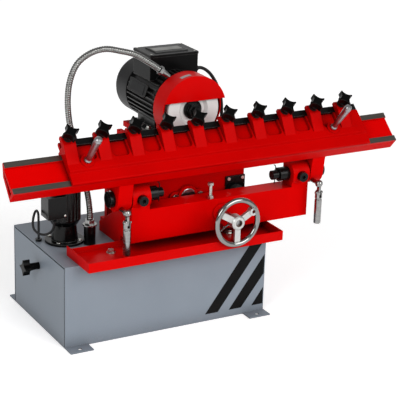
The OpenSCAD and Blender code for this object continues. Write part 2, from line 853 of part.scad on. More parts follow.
module handwheel() color("#c8c8c6") {
    rim_r = wheel_d / 2 - rim_d / 2;
    boss_at = rim_r - 8;
    boss = [screw_x + boss_at * cos(30), screw_z + boss_at * sin(30)];
    difference() {
        union() {
            turned_y(screw_x, rim_y, screw_z)
                translate([rim_r, 0])
                    circle(d = rim_d);
            turned_y(screw_x, hub_y, screw_z)
                polygon([[0, 0], [hub_d / 2 - 3, 0], [hub_d / 2, 3], [hub_d / 2, hub_l], [0, hub_l]]);
            for (k = [0 : spoke_n - 1])
                translate([screw_x, rim_y, screw_z])
                    rotate([0, -30 - k * 360 / spoke_n, 0])
                        along_x(0, rim_r)
                            square([8, 14], center = true);
            rod_y(boss[0], rim_y - rim_d / 2 - 1, boss[1], 9, rim_d + 2);
        }
        rod_y(screw_x, hub_y - 1, screw_z, screw_r - 1 + seat_gap, hub_l + 2);
        rod_y(boss[0], rim_y - rim_d, boss[1], 4, 2 * rim_d);
    }
}

// Beam

module lug(x) {
    along_x(x, lug_w)
        difference() {
            union() {
                translate([ear_y, ear_z])
                    circle(r = lug_r);
                polygon([[ear_y - lug_r, ear_z], [beam_y + 21, beam_z - 18], [beam_y + 55, beam_z + 20],
                    [ear_y + lug_r, ear_z + 4], [ear_y + lug_r, ear_z]]);
            }
            translate([ear_y, ear_z])
                circle(r = pivot_r + run_gap);
        }
}

module swing_beam() color("#d80000") {
    difference() {
        union() {
            on_beam()
                along_x(beam_x, beam_l)
                    difference() {
                        polygon([[0, -way_h], [0, -beam_t], [beam_back_u, beam_back_n], [beam_w, -way_h]]);
                        polygon([[8, -beam_t + 9], [beam_back_u - 4, beam_back_n + 8],
                            [beam_w - 13, -way_h - 7], [8, -way_h - 7]]);
                    }
            for (x = [lug_left, lug_right])
                lug(x);
        }
        for (x = lever_xs)
            rod_y(x, lever_y, lever_z, lever_stud_d / 2 + run_gap, lever_stud_l + 2);
    }
}

module slide_ways() color("#4a4440") {
    on_beam()
        for (u = [0, beam_w - way_w])
            translate([beam_x, u, -way_h])
                cube([beam_l, way_w, way_h]);
}

// A lock lever's stud with its ball and the tongue that hangs in the handle's fork
module lock_stud(x) {
    rod_y(x, lever_y, lever_z, lever_stud_d / 2, lever_stud_l);
    difference() {
        translate([x, lever_y, lever_z])
            sphere(d = lever_ball_d);
        rod_y(x, lever_y + 2, lever_z, lever_stud_d / 2 - eps, 20);
    }
    difference() {
        translate([x - tongue_t / 2, lever_y - 6, lever_z - pin_drop - 6])
            cube([tongue_t, 10, pin_drop]);
        rod_x(x - tongue_t, lever_y - 1, lever_z - pin_drop, pin_r + run_gap, 2 * tongue_t);
    }
}

// A turned lever handle: grip, groove, and a slotted top with its cross pin
module lock_handle(x) {
    r = lever_d / 2;
    top = lever_l + fork_l;
    slot_l = fork_l - 4;
    translate([x, lever_y - 1, lever_z - pin_drop + 5 - top]) {
        difference() {
            rotate_extrude()
                polygon([[0, 0], [r - 2, 0], [r, 2], [r, lever_l - 2], [r - 1.2, lever_l - 1],
                    [r - 1.2, lever_l + 1], [r, lever_l + 2], [r, top - 3], [r - 2, top], [0, top]]);
            translate([-tongue_t / 2 - slide_gap, -lever_d, top - slot_l])
                cube([tongue_t + 2 * slide_gap, 2 * lever_d, slot_l + 1]);
        }
        translate([-r - 1, 0, top - 5])
            rotate([0, 90, 0])
                cylinder(r = pin_r, h = 2 * r + 2);
    }
}

module lock_stud_left() color("#c8c8c6") lock_stud(lever_xs[0]);

module lock_stud_right() color("#c8c8c6") lock_stud(lever_xs[1]);

module lock_handle_left() color("#d0d0d0") lock_handle(lever_xs[0]);

module lock_handle_right() color("#d0d0d0") lock_handle(lever_xs[1]);

// Knife holder

module finger(x) {
    along_x(x - finger_w / 2, finger_w)
        polygon([[band_w + 18, pocket_t - eps], [band_w + 18, panel_t], [band_w + 38, panel_t + 7],
            [bar_u - 4, finger_t], [tip_u - 4, finger_t], [tip_u, finger_t - 4],
            [tip_u, pocket_t + bar_t + 3], [tip_u - 2, pocket_t + bar_t + 1],
            [bar_u - 1, pocket_t + bar_t + 1], [bar_u - 1, pocket_t - eps]]);
}

module knife_holder() color("#d80000") {
    on_beam()
        difference() {
            union() {
                along_x(holder_x, holder_l)
                    polygon([[-1, slide_gap], [-1, band_t - 2], [1, band_t], [band_w, band_t + 1],
                        [band_w + 3, panel_t], [band_w + 20, panel_t], [band_w + 26, pocket_t],
                        [holder_w, pocket_t], [holder_w, 3], [holder_w - 3, slide_gap],
                        [beam_w + 9, slide_gap], [beam_w + 9, -10], [beam_w + slide_gap, -10],
                        [beam_w + slide_gap, slide_gap]]);
                for (x = finger_xs)
                    finger(x);
                for (x = grip_xs)
                    translate([x, band_w + 22, slide_gap + 1])
                        cylinder(d = 30, h = panel_t + 1 - slide_gap);
            }
            for (x = finger_xs)
                translate([x, stud_u, pocket_t + bar_t])
                    cylinder(d = knob_stud_d + 2 * run_gap, h = finger_t);
            for (x = grip_xs)
                translate([x, band_w + 22, panel_t - 10])
                    cylinder(d = grip_root_d - 2, h = 20);
        }
}

module clamp_bar() color("#141414") {
    on_beam()
        translate([holder_x + 4, bar_u, pocket_t])
            cube([holder_l - 8, bar_w, bar_t]);
}

module push_handles() color("#8a8a88") {
    on_beam()
        for (x = grip_xs)
            translate([x, band_w + 22, panel_t + 2])
                rotate_extrude()
                    polygon([[0, -11], [grip_root_d / 2 - 1.05, -11], [grip_root_d / 2 - 1.05, 0],
                        [grip_root_d / 2 + 2, 0], [grip_root_d / 2 + 2, 4], [grip_root_d / 2, 7],
                        [grip_d / 2, grip_l - 9], [grip_d / 2 - 1, grip_l - 3], [grip_d / 2 - 4, grip_l],
                        [0, grip_l]]);
}

// A clamping knob: stud, washer, neck and four-lobed star
module clamp_knob(i) {
    color("#141414")
        on_beam()
            translate([finger_xs[i], stud_u, pocket_t + bar_t + slide_gap]) {
                cylinder(d = knob_stud_d, h = finger_t - pocket_t - bar_t + 4);
                translate([0, 0, finger_t - pocket_t - bar_t])
                    cylinder(d = 20, h = 2);
                translate([0, 0, finger_t - pocket_t - bar_t + 2])
                    cylinder(d1 = 18, d2 = 24, h = knob_neck);
                translate([0, 0, finger_t - pocket_t - bar_t + 2 + knob_neck])
                    rotate(knob_turn)
                        linear_extrude(knob_t)
                            star(knob_d);
            }
}

// Motor, wheel and guard

module motor_body() color("#161616") {
    core_r = motor_r - fin_h;
    difference() {
        union() {
            rod_y(spindle_x, motor_y, spindle_z, core_r, motor_l);
            for (k = [0 : fin_n - 1])
                translate([spindle_x, motor_y + 6, spindle_z])
                    rotate([0, k * 360 / fin_n, 0])
                        translate([core_r - 2, 0, -1.2])
                            cube([fin_h + 1.6, motor_l - 12, 2.4]);
            for (sx = [-1, 1])
                translate([spindle_x + sx * 56 - 16, motor_y + 20, plate_z])
                    cube([32, 92, 9]);
            for (sx = [-1, 1])
                translate([spindle_x + sx * 44 - 8, motor_y + 24, plate_z])
                    cube([16, 84, 36]);
        }
        rod_y(spindle_x, motor_y - 1, spindle_z, core_r - 14, motor_l - 7);
        rod_y(spindle_x, motor_y, spindle_z, shaft_r + 0.5, motor_l + 2);
        for (sx = [-1, 1], y = foot_bolt_ys)
            translate([spindle_x + sx * foot_bolt_x, y, plate_z - 1])
                cylinder(d = 7, h = 12);
    }
}

module front_shield() color("#161616") {
    r = motor_r - 3;
    difference() {
        turned_y(spindle_x, motor_y - 12, spindle_z)
            polygon([[0, 0], [r - 14, 0], [r, 8], [r, 12], [0, 12]]);
        rod_y(spindle_x, motor_y - 13, spindle_z, shaft_r + run_gap, 14);
    }
}

module fan_cover() color("#3a3a3a") {
    r = motor_r - 1;
    wall = 2.5;
    difference() {
        turned_y(spindle_x, motor_back, spindle_z)
            polygon([[r - 17, seat_gap], [r, seat_gap], [r, fan_l - 14], [r - 4, fan_l - 5], [r - 12, fan_l],
                [0, fan_l], [0, fan_l - wall], [r - 13, fan_l - wall], [r - 6, fan_l - 7],
                [r - wall, fan_l - 15], [r - wall, wall], [r - 17, wall]]);
        for (ring_r = [16, 26, 36, 46], a = [0 : 60 : 300])
            translate([spindle_x, motor_back + fan_l - 4, spindle_z])
                rotate([-90, 0, 0])
                    rotate(a + 6)
                        rotate_extrude(angle = 48)
                            translate([ring_r, 0])
                                square([5, 6]);
    }
}

module terminal_box() color("#161616") {
    side = spindle_x + box_w / 2;
    difference() {
        translate([spindle_x - box_w / 2, box_y, box_z - box_drop])
            cube([box_w, box_d, box_h + box_drop - lid_t]);
        rod_y(spindle_x, box_y - 1, spindle_z, motor_r + 0.1, box_d + 2);
        translate([spindle_x - box_w / 2 + 3, box_y + 3, box_z + 4])
            cube([box_w - 6, box_d - 6, box_h]);
    }
    rod_x(side - eps, gland_y, gland_z, 8, 8);
    rod_x(side + 8 - eps, gland_y, gland_z, 6.5, 8);
}

module terminal_lid() color("#202020") {
    translate([spindle_x - box_w / 2 - 1, box_y - 1, box_z + box_h - lid_t])
        cube([box_w + 2, box_d + 2, lid_t - 2]);
    translate([spindle_x - box_w / 2 + 22, box_y + 14, box_z + box_h - 2 - eps])
        cube([box_w - 40, box_d - 28, 2]);
}

module motor_bolts() color("#a8a8a8") {
    for (sx = [-1, 1], y = foot_bolt_ys) {
        hex_head([spindle_x + sx * foot_bolt_x, y, plate_z + 9], 10, 7);
        translate([spindle_x + sx * foot_bolt_x, y, plate_z])
            cylinder(d = 6.9, h = 9 + eps);
    }
}

module wheel_guard() color("#d40000") {
    front = stone_y - 6;
    difference() {
        rod_y(spindle_x, front, spindle_z, guard_r, guard_back - front);
        rod_y(spindle_x, front + guard_t, spindle_z, guard_r - guard_t, guard_back - front - 2 * guard_t);
        rod_y(spindle_x, guard_back - guard_t - 1, spindle_z, shaft_r + 5, guard_t + 2);
        translate([spindle_x - guard_r - 1, front - 1, spindle_z - guard_r - 1])
            cube([2 * guard_r + 2, guard_t + 1, guard_r + 1 + guard_edge]);
        translate([spindle_x - guard_r - 1, front - 1, spindle_z - guard_r - 1])
            cube([2 * guard_r + 2, 24, guard_r + 1 - 26]);
        translate([spindle_x, front - 1, spindle_z - guard_r - 1])
            cube([guard_r + 1, 24, guard_r + 1 + guard_edge]);
    }
    difference() {
        rod_y(spindle_x, guard_back - eps, spindle_z, 34, motor_y - 12 - guard_back);
        rod_y(spindle_x, guard_back - 1, spindle_z, 28, motor_y);
    }
}

module rotor_shaft() color("#a0a2a4") {
    rod_y(spindle_x, stone_y - 8, spindle_z, shaft_r, motor_back + 40 - stone_y);
    rod_y(spindle_x, motor_y + 24, spindle_z, motor_r - fin_h - 15, 78);
}

module cooling_fan() color("#2a2a2a") {
    y0 = motor_back + 8;
    difference() {
        union() {
            rod_y(spindle_x, y0, spindle_z, 18, 22);
            rod_y(spindle_x, y0, spindle_z, motor_r - 16, 3);
            for (k = [0 : 7])
                translate([spindle_x, y0, spindle_z])
                    rotate([0, k * 45, 0])
                        translate([16, 0, -1.5])
                            cube([motor_r - 34, 20, 3]);
        }
        rod_y(spindle_x, y0 - 1, spindle_z, shaft_r + seat_gap, 26);
    }
}

module grinding_wheel() color("#dad5d5") {
    turned_y(spindle_x, stone_y, spindle_z)
        polygon([[shaft_r + seat_gap, 8], [stone_flange_d / 2 + 8, 8], [stone_flange_d / 2 + 14, 0],
            [stone_r - 2, 0], [stone_r, 2], [stone_r, stone_t], [shaft_r + seat_gap, stone_t]]);
}

module wheel_flange() color("#1a1a1a") {
    turned_y(spindle_x, stone_y, spindle_z)
        polygon([[shaft_r + seat_gap, 2], [stone_flange_d / 2 - 3, 2], [stone_flange_d / 2, 4],
            [stone_flange_d / 2, 8], [shaft_r + seat_gap, 8]]);
    difference() {
        translate([spindle_x, stone_y + 2, spindle_z])
            rotate([90, 0, 0])
                cylinder(d = 32, h = 9, $fn = 6);
        rod_y(spindle_x, stone_y - 8, spindle_z, shaft_r + seat_gap, 12);
    }
}

module motor_lead() color("#101010") lead(MOTOR_LEAD, lead_d, 0.5);

// Coolant pump and hose

module pump_base() color("#1c1c1c") {
    difference() {
        union() {
            translate([pump_x, pump_y, tank_h])
                cylinder(d = pump_flange_d, h = 6);
            translate([pump_x, pump_y, tank_h])
                cylinder(d1 = 62, d2 = 52, h = pump_neck);
            translate([pump_x, pump_y, tank_h - stem_h])
                cylinder(d = 46, h = stem_h + 1);
        }
        for (a = [45 : 90 : 315])
            translate([pump_x, pump_y, tank_h - 1])
                rotate(a)
                    translate([pump_flange_d / 2 - 8, 0, 0])
                        cylinder(d = 5, h = 8);
    }
    translate([grommet_p[0], grommet_p[1], tank_h])
        cylinder(d = 14, h = grommet_h);
}

module pump_motor() color("#161616") {
    z0 = tank_h + pump_neck;
    difference() {
        union() {
            translate([pump_x, pump_y, z0])
                cylinder(d1 = pump_d - 14, d2 = pump_d, h = 12);
            translate([pump_x, pump_y, z0 + 12])
                cylinder(d = pump_d, h = pump_h - 20);
            translate([pump_x, pump_y, z0 + pump_h - 8])
                cylinder(d1 = pump_d, d2 = pump_d - 12, h = 8);
            translate([pump_x - 62, pump_y - 54, z0 + 32])
                cube([44, 40, 50]);
            translate([pump_gland[0], pump_gland[1], pump_gland_z + eps])
                cylinder(d1 = 9, d2 = 20, h = 10);
        }
        for (k = [0 : 23])
            translate([pump_x, pump_y, z0 + 16])
                rotate(k * 15)
                    translate([pump_d / 2 - 2, -1.5, 0])
                        cube([5, 3, pump_h - 28]);
    }
}

module pump_lead() color("#101010") lead(PUMP_LEAD, pump_lead_d, 0.5);

module riser_pipe() color("#1c1c1c") {
    translate([riser_p[0], riser_p[1], tank_h])
        cylinder(d = riser_d, h = riser_h);
}

module gooseneck_hose() color("#b0b0ae") ribbed_hose(HOSE, hose_d, hose_bore, hose_ribs);

module hose_fittings() color("#c8c8c6") {
    z0 = tank_h + riser_h;
    difference() {
        union() {
            translate([riser_p[0], riser_p[1], z0])
                cylinder(d = 32, h = 3);
            translate([riser_p[0], riser_p[1], z0 + 3])
                cylinder(d = 22, h = 11, $fn = 6);
        }
        translate([riser_p[0], riser_p[1], z0 - 1])
            cylinder(d = hose_bore, h = 20);
    }
    pan = atan2(nozzle_dir[1], nozzle_dir[0]);
    fall = acos(nozzle_dir[2] / norm(nozzle_dir));
    translate(nozzle_p)
        rotate([0, fall, pan])
            difference() {
                union() {
                    cylinder(d = 20, h = 8, $fn = 6);
                    translate([0, 0, 8])
                        cylinder(d1 = 15, d2 = 9, h = 22);
                }
                translate([0, 0, -1])
                    cylinder(d = 5, h = 40);
            }
}

base_cabinet();
coolant_drawer();
drawer_knob();
drip_tray();
tray_bolts();
main_frame();
pivot_shafts();
shaft_collars();
ear_screws();
stop_bolt();
rear_bracket();
guide_rods();
bellows_plates();
bellows_left();
bellows_right();
screw_bush();
infeed_lock();
saddle();
guide_flange();
flange_bolts();
lead_nut();
lead_screw();
handwheel();
swing_beam();
slide_ways();
lock_stud_left();
lock_handle_left();
lock_stud_right();
lock_handle_right();
knife_holder();
clamp_bar();
push_handles();
for (i = [0 : finger_n - 1])
    clamp_knob(i);
motor_body();
front_shield();
fan_cover();
terminal_box();
terminal_lid();
motor_bolts();
wheel_guard();
rotor_shaft();
cooling_fan();
grinding_wheel();
wheel_flange();
motor_lead();
pump_base();
pump_motor();
pump_lead();
riser_pipe();
gooseneck_hose();
hose_fittings();
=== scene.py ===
"""Looks of a planer knife grinder: paint, metal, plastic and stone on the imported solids.

Metres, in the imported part's own frame: +X along the slide beam, +Y to the motor, +Z up.
"""

import math

import bmesh
import bpy
from mathutils import Matrix, Vector


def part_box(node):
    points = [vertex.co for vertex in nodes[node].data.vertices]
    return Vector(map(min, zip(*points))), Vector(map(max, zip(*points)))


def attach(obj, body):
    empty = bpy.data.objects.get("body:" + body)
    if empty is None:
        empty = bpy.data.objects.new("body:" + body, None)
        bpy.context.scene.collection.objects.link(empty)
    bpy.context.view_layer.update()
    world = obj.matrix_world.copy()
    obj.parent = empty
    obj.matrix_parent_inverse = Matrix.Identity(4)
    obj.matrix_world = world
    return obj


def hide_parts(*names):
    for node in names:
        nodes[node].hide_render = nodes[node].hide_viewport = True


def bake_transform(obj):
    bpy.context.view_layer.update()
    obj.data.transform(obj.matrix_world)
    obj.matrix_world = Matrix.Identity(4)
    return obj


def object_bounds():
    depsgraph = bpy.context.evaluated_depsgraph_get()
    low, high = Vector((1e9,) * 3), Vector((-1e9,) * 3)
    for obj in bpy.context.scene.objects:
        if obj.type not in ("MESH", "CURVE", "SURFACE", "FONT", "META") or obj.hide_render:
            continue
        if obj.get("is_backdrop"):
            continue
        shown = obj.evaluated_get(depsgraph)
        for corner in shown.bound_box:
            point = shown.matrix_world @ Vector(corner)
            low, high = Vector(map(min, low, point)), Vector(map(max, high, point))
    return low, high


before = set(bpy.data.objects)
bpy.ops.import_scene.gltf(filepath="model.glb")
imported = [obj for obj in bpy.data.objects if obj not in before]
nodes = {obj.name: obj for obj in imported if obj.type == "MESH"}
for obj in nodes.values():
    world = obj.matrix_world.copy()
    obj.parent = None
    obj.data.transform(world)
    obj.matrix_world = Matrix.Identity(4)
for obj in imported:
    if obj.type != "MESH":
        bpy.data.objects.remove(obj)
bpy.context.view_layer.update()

MM = 0.001

# What several sections share: the cabinet's top and the spindle's line, in millimetres, and directions
BEAM_ANGLE = math.radians(41.5)
TOP = round(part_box("base_cabinet")[1].z / MM, 3)
SPINDLE_X = 102
SPINDLE = TOP + 285
RIGHTWARD = Vector((1, 0, 0))
FORWARD = Vector((0, -1, 0))
BACKWARD = Vector((0, 1, 0))
UPWARD = Vector((0, 0, 1))


# Camera: the photograph's own place and lens, for a square picture

CAMERA_AT = Vector((-1.4026, -2.7649, 1.3588))
CAMERA_RIGHT = Vector((0.87608, -0.48118, 0.03010))
CAMERA_UP = Vector((0.13555, 0.30575, 0.94235))
CAMERA_LENS_MM = 130.455
CAMERA_SENSOR_MM = 36.0

camera_data = bpy.data.cameras.new("camera")
camera_data.sensor_fit = "HORIZONTAL"
camera_data.sensor_width = CAMERA_SENSOR_MM
camera_data.lens = CAMERA_LENS_MM
camera = bpy.data.objects.new("camera", camera_data)
bpy.context.scene.collection.objects.link(camera)
right = CAMERA_RIGHT.normalized()
back = right.cross(CAMERA_UP).normalized()
up = back.cross(right)
camera.matrix_world = Matrix.Translation(CAMERA_AT) @ Matrix((right, up, back)).transposed().to_4x4()
bpy.context.scene.camera = camera


# Small helpers for meshes


def piece(name, mesh_data, material, body):
    """A new piece of the object, riding on one of its bodies."""
    obj = bpy.data.objects.new(name, mesh_data)
    bpy.context.scene.collection.objects.link(obj)
    obj.data.materials.append(material)
    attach(obj, body)
    return obj


def mesh_of(name, build, smooth=False):
    """A mesh made by a function that fills a bmesh."""
    bm = bmesh.new()
    build(bm)
    bmesh.ops.recalc_face_normals(bm, faces=bm.faces)
    mesh = bpy.data.meshes.new(name)
    bm.to_mesh(mesh)
    bm.free()
    for polygon in mesh.polygons:
        polygon.use_smooth = smooth
    return mesh


def drawn(name, build, material, body, smooth=False):
    """A piece whose mesh is made by a function that fills a bmesh."""
    return piece(name, mesh_of(name, build, smooth), material, body)


def loft(bm, rings, closed_ends=True):
    """Skin a list of equal closed rings, with flat ends unless told otherwise."""
    rows = [[bm.verts.new(p) for p in points] for points in rings]
    for low, high in zip(rows, rows[1:]):
        for i in range(len(low)):
            j = (i + 1) % len(low)
            bm.faces.new((low[i], low[j], high[j], high[i]))
    if closed_ends:
        bm.faces.new(list(reversed(rows[0])))
        bm.faces.new(rows[-1])


def circle(middle, side, over, radius, sides):
    """A round ring of points about a middle, in the plane of two directions."""
    turns = [2 * math.pi * k / sides for k in range(sides)]
    return [middle + radius * (side * math.cos(a) + over * math.sin(a)) for a in turns]


def turned_mesh(bm, at, out, profile_mm, sides):
    """A part turned about a line through a point, from its radii and heights."""
    side = out.orthogonal().normalized()
    over = out.cross(side)
    loft(bm, [circle(at + out * h * MM, side, over, r * MM, sides) for r, h in profile_mm])


def smooth_route(points_mm, steps):
    """The smooth line through a route's points, in metres."""
    p = [Vector(q) * MM for q in points_mm]
    line = []
    for i in range(len(p) - 1):
        a, b, c, d = p[max(i - 1, 0)], p[i], p[i + 1], p[min(i + 2, len(p) - 1)]
        square = 2 * a - 5 * b + 4 * c - d
        cube = 3 * b - a - 3 * c + d
        for k in range(steps):
            t = k / steps
            line.append(0.5 * (2 * b + (c - a) * t + square * t**2 + cube * t**3))
    line.append(p[-1])
    return line


# Small helpers for materials


def linear(code):
    """An sRGB hex colour as linear RGBA."""
    parts = [int(code[i : i + 2], 16) / 255 for i in (1, 3, 5)]
    return [c / 12.92 if c <= 0.04045 else ((c + 0.055) / 1.055) ** 2.4 for c in parts] + [1.0]


def per_metre(size_mm):
    """The texture scale that gives a pattern of that size."""
    return 1000.0 / size_mm


def add(tree, kind, settings=None, links=None):
    """One shader node with its settings and the sockets that feed it."""
    node = tree.nodes.new(kind)
    for key, value in (settings or {}).items():
        if isinstance(key, int) or key in node.inputs:
            node.inputs[key].default_value = value
        else:
            setattr(node, key, value)
    for key, source in (links or {}).items():
        tree.links.new(source, node.inputs[key])
    return node


def blank(name):
    """An empty material: returns it with its tree and the object's own coordinates."""
    material = bpy.data.materials.new(name)
    material.use_nodes = True
    material.node_tree.nodes.clear()
    place = add(material.node_tree, "ShaderNodeTexCoord").outputs["Object"]
    return material, material.node_tree, place


# Finishes

# How far the walls of a recess and of a groove may stand apart, and the colours of the painted shade in
# recesses and grooves and of the painted highlight on edges
RECESS_MM = 70
GROOVE_MM = 4
RECESS_SHADE = "#1c0806"
GROOVE_SHADE = "#141210"
EDGE_HIGHLIGHT = "#7c7c7a"

# Stretch of tool marks: a small number draws them out along that axis
ALONG_X = (0.03, 1.0, 1.0)
ALONG_Y = (1.0, 0.03, 1.0)
ALL_WAYS = (1.0, 1.0, 1.0)
TURNED = (0.05, 0.05, 1.0)


def enamel(name, shade, light, peel_mm, depth_mm, edge_mm, smooth, dull, shine):
    """Sprayed machine enamel: orange peel, a painted highlight that makes thin edges paler, and painted shade
    that darkens the recesses.
    """
    material, tree, place = blank(name)
    cloud = add(tree, "ShaderNodeTexNoise", {"Scale": per_metre(110), "Detail": 4.0}, {"Vector": place})
    peel = add(tree, "ShaderNodeTexNoise", {"Scale": per_metre(peel_mm), "Detail": 2.0}, {"Vector": place})
    edge = add(tree, "ShaderNodeBevel", {"samples": 6, "Radius": edge_mm * MM})
    flat = add(tree, "ShaderNodeNewGeometry")
    turned = add(tree, "ShaderNodeVectorMath", {"operation": "DOT_PRODUCT"},
        {0: edge.outputs["Normal"], 1: flat.outputs["Normal"]})
    # Painted highlight: where the bevel rounds an edge, the enamel is drawn paler
    thin = add(tree, "ShaderNodeMapRange", {"From Min": 1.0, "From Max": 0.75, "To Max": 0.35},
        {"Value": turned.outputs["Value"]})
    tone = add(tree, "ShaderNodeMath", {"operation": "ADD", "use_clamp": True},
        {0: cloud.outputs["Fac"], 1: thin.outputs["Result"]})
    clean = add(tree, "ShaderNodeMix", {"data_type": "RGBA", 6: linear(shade), 7: linear(light)},
        {0: tone.outputs["Value"]})
    # Painted shade: the enamel turns to a near-black red where ambient occlusion finds a recess
    open_air = add(tree, "ShaderNodeAmbientOcclusion", {"samples": 6, "Distance": RECESS_MM * MM})
    film = add(tree, "ShaderNodeMapRange",
        {"From Min": 0.15, "From Max": 0.75, "To Min": 0.75, "To Max": 0.0},
        {"Value": open_air.outputs["AO"]})
    colour = add(tree, "ShaderNodeMix", {"data_type": "RGBA", 7: linear(RECESS_SHADE)},
        {0: film.outputs["Result"], 6: clean.outputs[2]})
    gloss = add(tree, "ShaderNodeMapRange",
        {"From Min": 0.3, "From Max": 0.7, "To Min": smooth, "To Max": dull},
        {"Value": cloud.outputs["Fac"]})
    skin = add(tree, "ShaderNodeBump", {"Distance": depth_mm * MM, "Strength": 0.6},
        {"Height": peel.outputs["Fac"], "Normal": edge.outputs["Normal"]})
    paint = add(tree, "ShaderNodeBsdfPrincipled", {"IOR": 1.5, "Specular IOR Level": shine},
        {"Base Color": colour.outputs[2], "Roughness": gloss.outputs["Result"],
            "Normal": skin.outputs["Normal"]})
    add(tree, "ShaderNodeOutputMaterial", {}, {"Surface": paint.outputs["BSDF"]})
    return material


def black_skin(name, shade, light, rough, grain_mm, depth_mm, edge_mm, metal=0.0, shine=0.25, edge_highlight=0.0):
    """A near-black surface: paint, moulding or blacked steel, told apart by grain and gloss, with a painted
    highlight that makes its edges paler.
    """
    material, tree, place = blank(name)
    cloud = add(tree, "ShaderNodeTexNoise", {"Scale": per_metre(22), "Detail": 3.0}, {"Vector": place})
    grain = add(tree, "ShaderNodeTexNoise", {"Scale": per_metre(grain_mm), "Detail": 2.0}, {"Vector": place})
    edge = add(tree, "ShaderNodeBevel", {"samples": 6, "Radius": edge_mm * MM})
    flat = add(tree, "ShaderNodeNewGeometry")
    bend = add(tree, "ShaderNodeVectorMath", {"operation": "DOT_PRODUCT"},
        {0: edge.outputs["Normal"], 1: flat.outputs["Normal"]})
    # Painted highlight: edges that the bevel rounds are drawn toward a pale grey
    highlit_edge = add(tree, "ShaderNodeMapRange", {"From Min": 0.99, "From Max": 0.80, "To Max": edge_highlight},
        {"Value": bend.outputs["Value"]})
    clean = add(tree, "ShaderNodeMix", {"data_type": "RGBA", 6: linear(shade), 7: linear(light)},
        {0: cloud.outputs["Fac"]})
    colour = add(tree, "ShaderNodeMix", {"data_type": "RGBA", 7: linear(EDGE_HIGHLIGHT)},
        {0: highlit_edge.outputs["Result"], 6: clean.outputs[2]})
    gloss = add(tree, "ShaderNodeMapRange",
        {"From Min": 0.3, "From Max": 0.7, "To Min": rough - 0.05, "To Max": rough + 0.08},
        {"Value": grain.outputs["Fac"]})
    skin = add(tree, "ShaderNodeBump", {"Distance": depth_mm * MM, "Strength": 0.6},
        {"Height": grain.outputs["Fac"], "Normal": edge.outputs["Normal"]})
    body = add(tree, "ShaderNodeBsdfPrincipled", {"Metallic": metal, "Specular IOR Level": shine},
        {"Base Color": colour.outputs[2], "Roughness": gloss.outputs["Result"],
            "Normal": skin.outputs["Normal"]})
    add(tree, "ShaderNodeOutputMaterial", {}, {"Surface": body.outputs["BSDF"]})
    return material


def bare_metal(name, shade, light, rough, stretch, mark_mm, depth_mm, edge_mm, turn=0.0):
    """Bare or plated metal: tool marks drawn out by their stretch, and painted shade that darkens the
    grooves.
    """
    material, tree, place = blank(name)
    along = add(tree, "ShaderNodeMapping", {"Rotation": (turn, 0.0, 0.0), "Scale": stretch},
        {"Vector": place})
    marks = add(tree, "ShaderNodeTexNoise", {"Scale": per_metre(mark_mm), "Detail": 3.0},
        {"Vector": along.outputs["Vector"]})
    smear = add(tree, "ShaderNodeTexNoise", {"Scale": per_metre(30), "Detail": 3.0}, {"Vector": place})
    edge = add(tree, "ShaderNodeBevel", {"samples": 6, "Radius": edge_mm * MM})
    tone = add(tree, "ShaderNodeMapRange", {"From Min": 0.3, "From Max": 0.7},
        {"Value": marks.outputs["Fac"]})
    clean = add(tree, "ShaderNodeMix", {"data_type": "RGBA", 6: linear(shade), 7: linear(light)},
        {0: tone.outputs["Result"]})
    # Painted shade: grooves that ambient occlusion finds are drawn near black
    open_air = add(tree, "ShaderNodeAmbientOcclusion",
        {"samples": 6, "only_local": True, "Distance": GROOVE_MM * MM})
    groove_shade = add(tree, "ShaderNodeMapRange", {"From Min": 0.3, "From Max": 0.9, "To Min": 0.9, "To Max": 0.0},
        {"Value": open_air.outputs["AO"]})
    colour = add(tree, "ShaderNodeMix", {"data_type": "RGBA", 7: linear(GROOVE_SHADE)},
        {0: groove_shade.outputs["Result"], 6: clean.outputs[2]})
    gloss = add(tree, "ShaderNodeMapRange",
        {"From Min": 0.3, "From Max": 0.7, "To Min": rough - 0.05, "To Max": rough + 0.1},
        {"Value": smear.outputs["Fac"]})
    skin = add(tree, "ShaderNodeBump", {"Distance": depth_mm * MM, "Strength": 0.5},
        {"Height": marks.outputs["Fac"], "Normal": edge.outputs["Normal"]})
    metal = add(tree, "ShaderNodeBsdfPrincipled", {"Metallic": 1.0},
        {"Base Color": colour.outputs[2], "Roughness": gloss.outputs["Result"],
            "Normal": skin.outputs["Normal"]})
    add(tree, "ShaderNodeOutputMaterial", {}, {"Surface": metal.outputs["BSDF"]})
    return material


def ground_way(up):
    """A slide way: oiled ground steel on the face that looks up, the beam's enamel on its sides."""
    material, tree, place = blank("ground_steel_with_enamelled_sides")
    side = add(tree, "ShaderNodeTexCoord")
    facing = add(tree, "ShaderNodeVectorMath", {"operation": "DOT_PRODUCT", 1: up},
        {0: side.outputs["Normal"]})
    ground = add(tree, "ShaderNodeMapRange", {"From Min": 0.6, "From Max": 0.8},
        {"Value": facing.outputs["Value"]})
    along = add(tree, "ShaderNodeMapping", {"Scale": ALONG_X}, {"Vector": place})
    marks = add(tree, "ShaderNodeTexNoise", {"Scale": per_metre(1.6), "Detail": 3.0},
        {"Vector": along.outputs["Vector"]})
    steel = add(tree, "ShaderNodeMix", {"data_type": "RGBA", 6: linear("#57514c"), 7: linear("#6d6761")},
        {0: marks.outputs["Fac"]})
    colour = add(tree, "ShaderNodeMix", {"data_type": "RGBA", 6: linear("#cc0000")},
        {0: ground.outputs["Result"], 7: steel.outputs[2]})
    gloss = add(tree, "ShaderNodeMapRange", {"To Min": 0.36, "To Max": 0.52},
        {"Value": marks.outputs["Fac"]})
    skin = add(tree, "ShaderNodeBump", {"Distance": 0.03 * MM, "Strength": 0.5},
        {"Height": marks.outputs["Fac"]})
    body = add(tree, "ShaderNodeBsdfPrincipled", {"Specular IOR Level": 0.1},
        {"Base Color": colour.outputs[2], "Metallic": ground.outputs["Result"],
            "Roughness": gloss.outputs["Result"], "Normal": skin.outputs["Normal"]})
    add(tree, "ShaderNodeOutputMaterial", {}, {"Surface": body.outputs["BSDF"]})
    return material


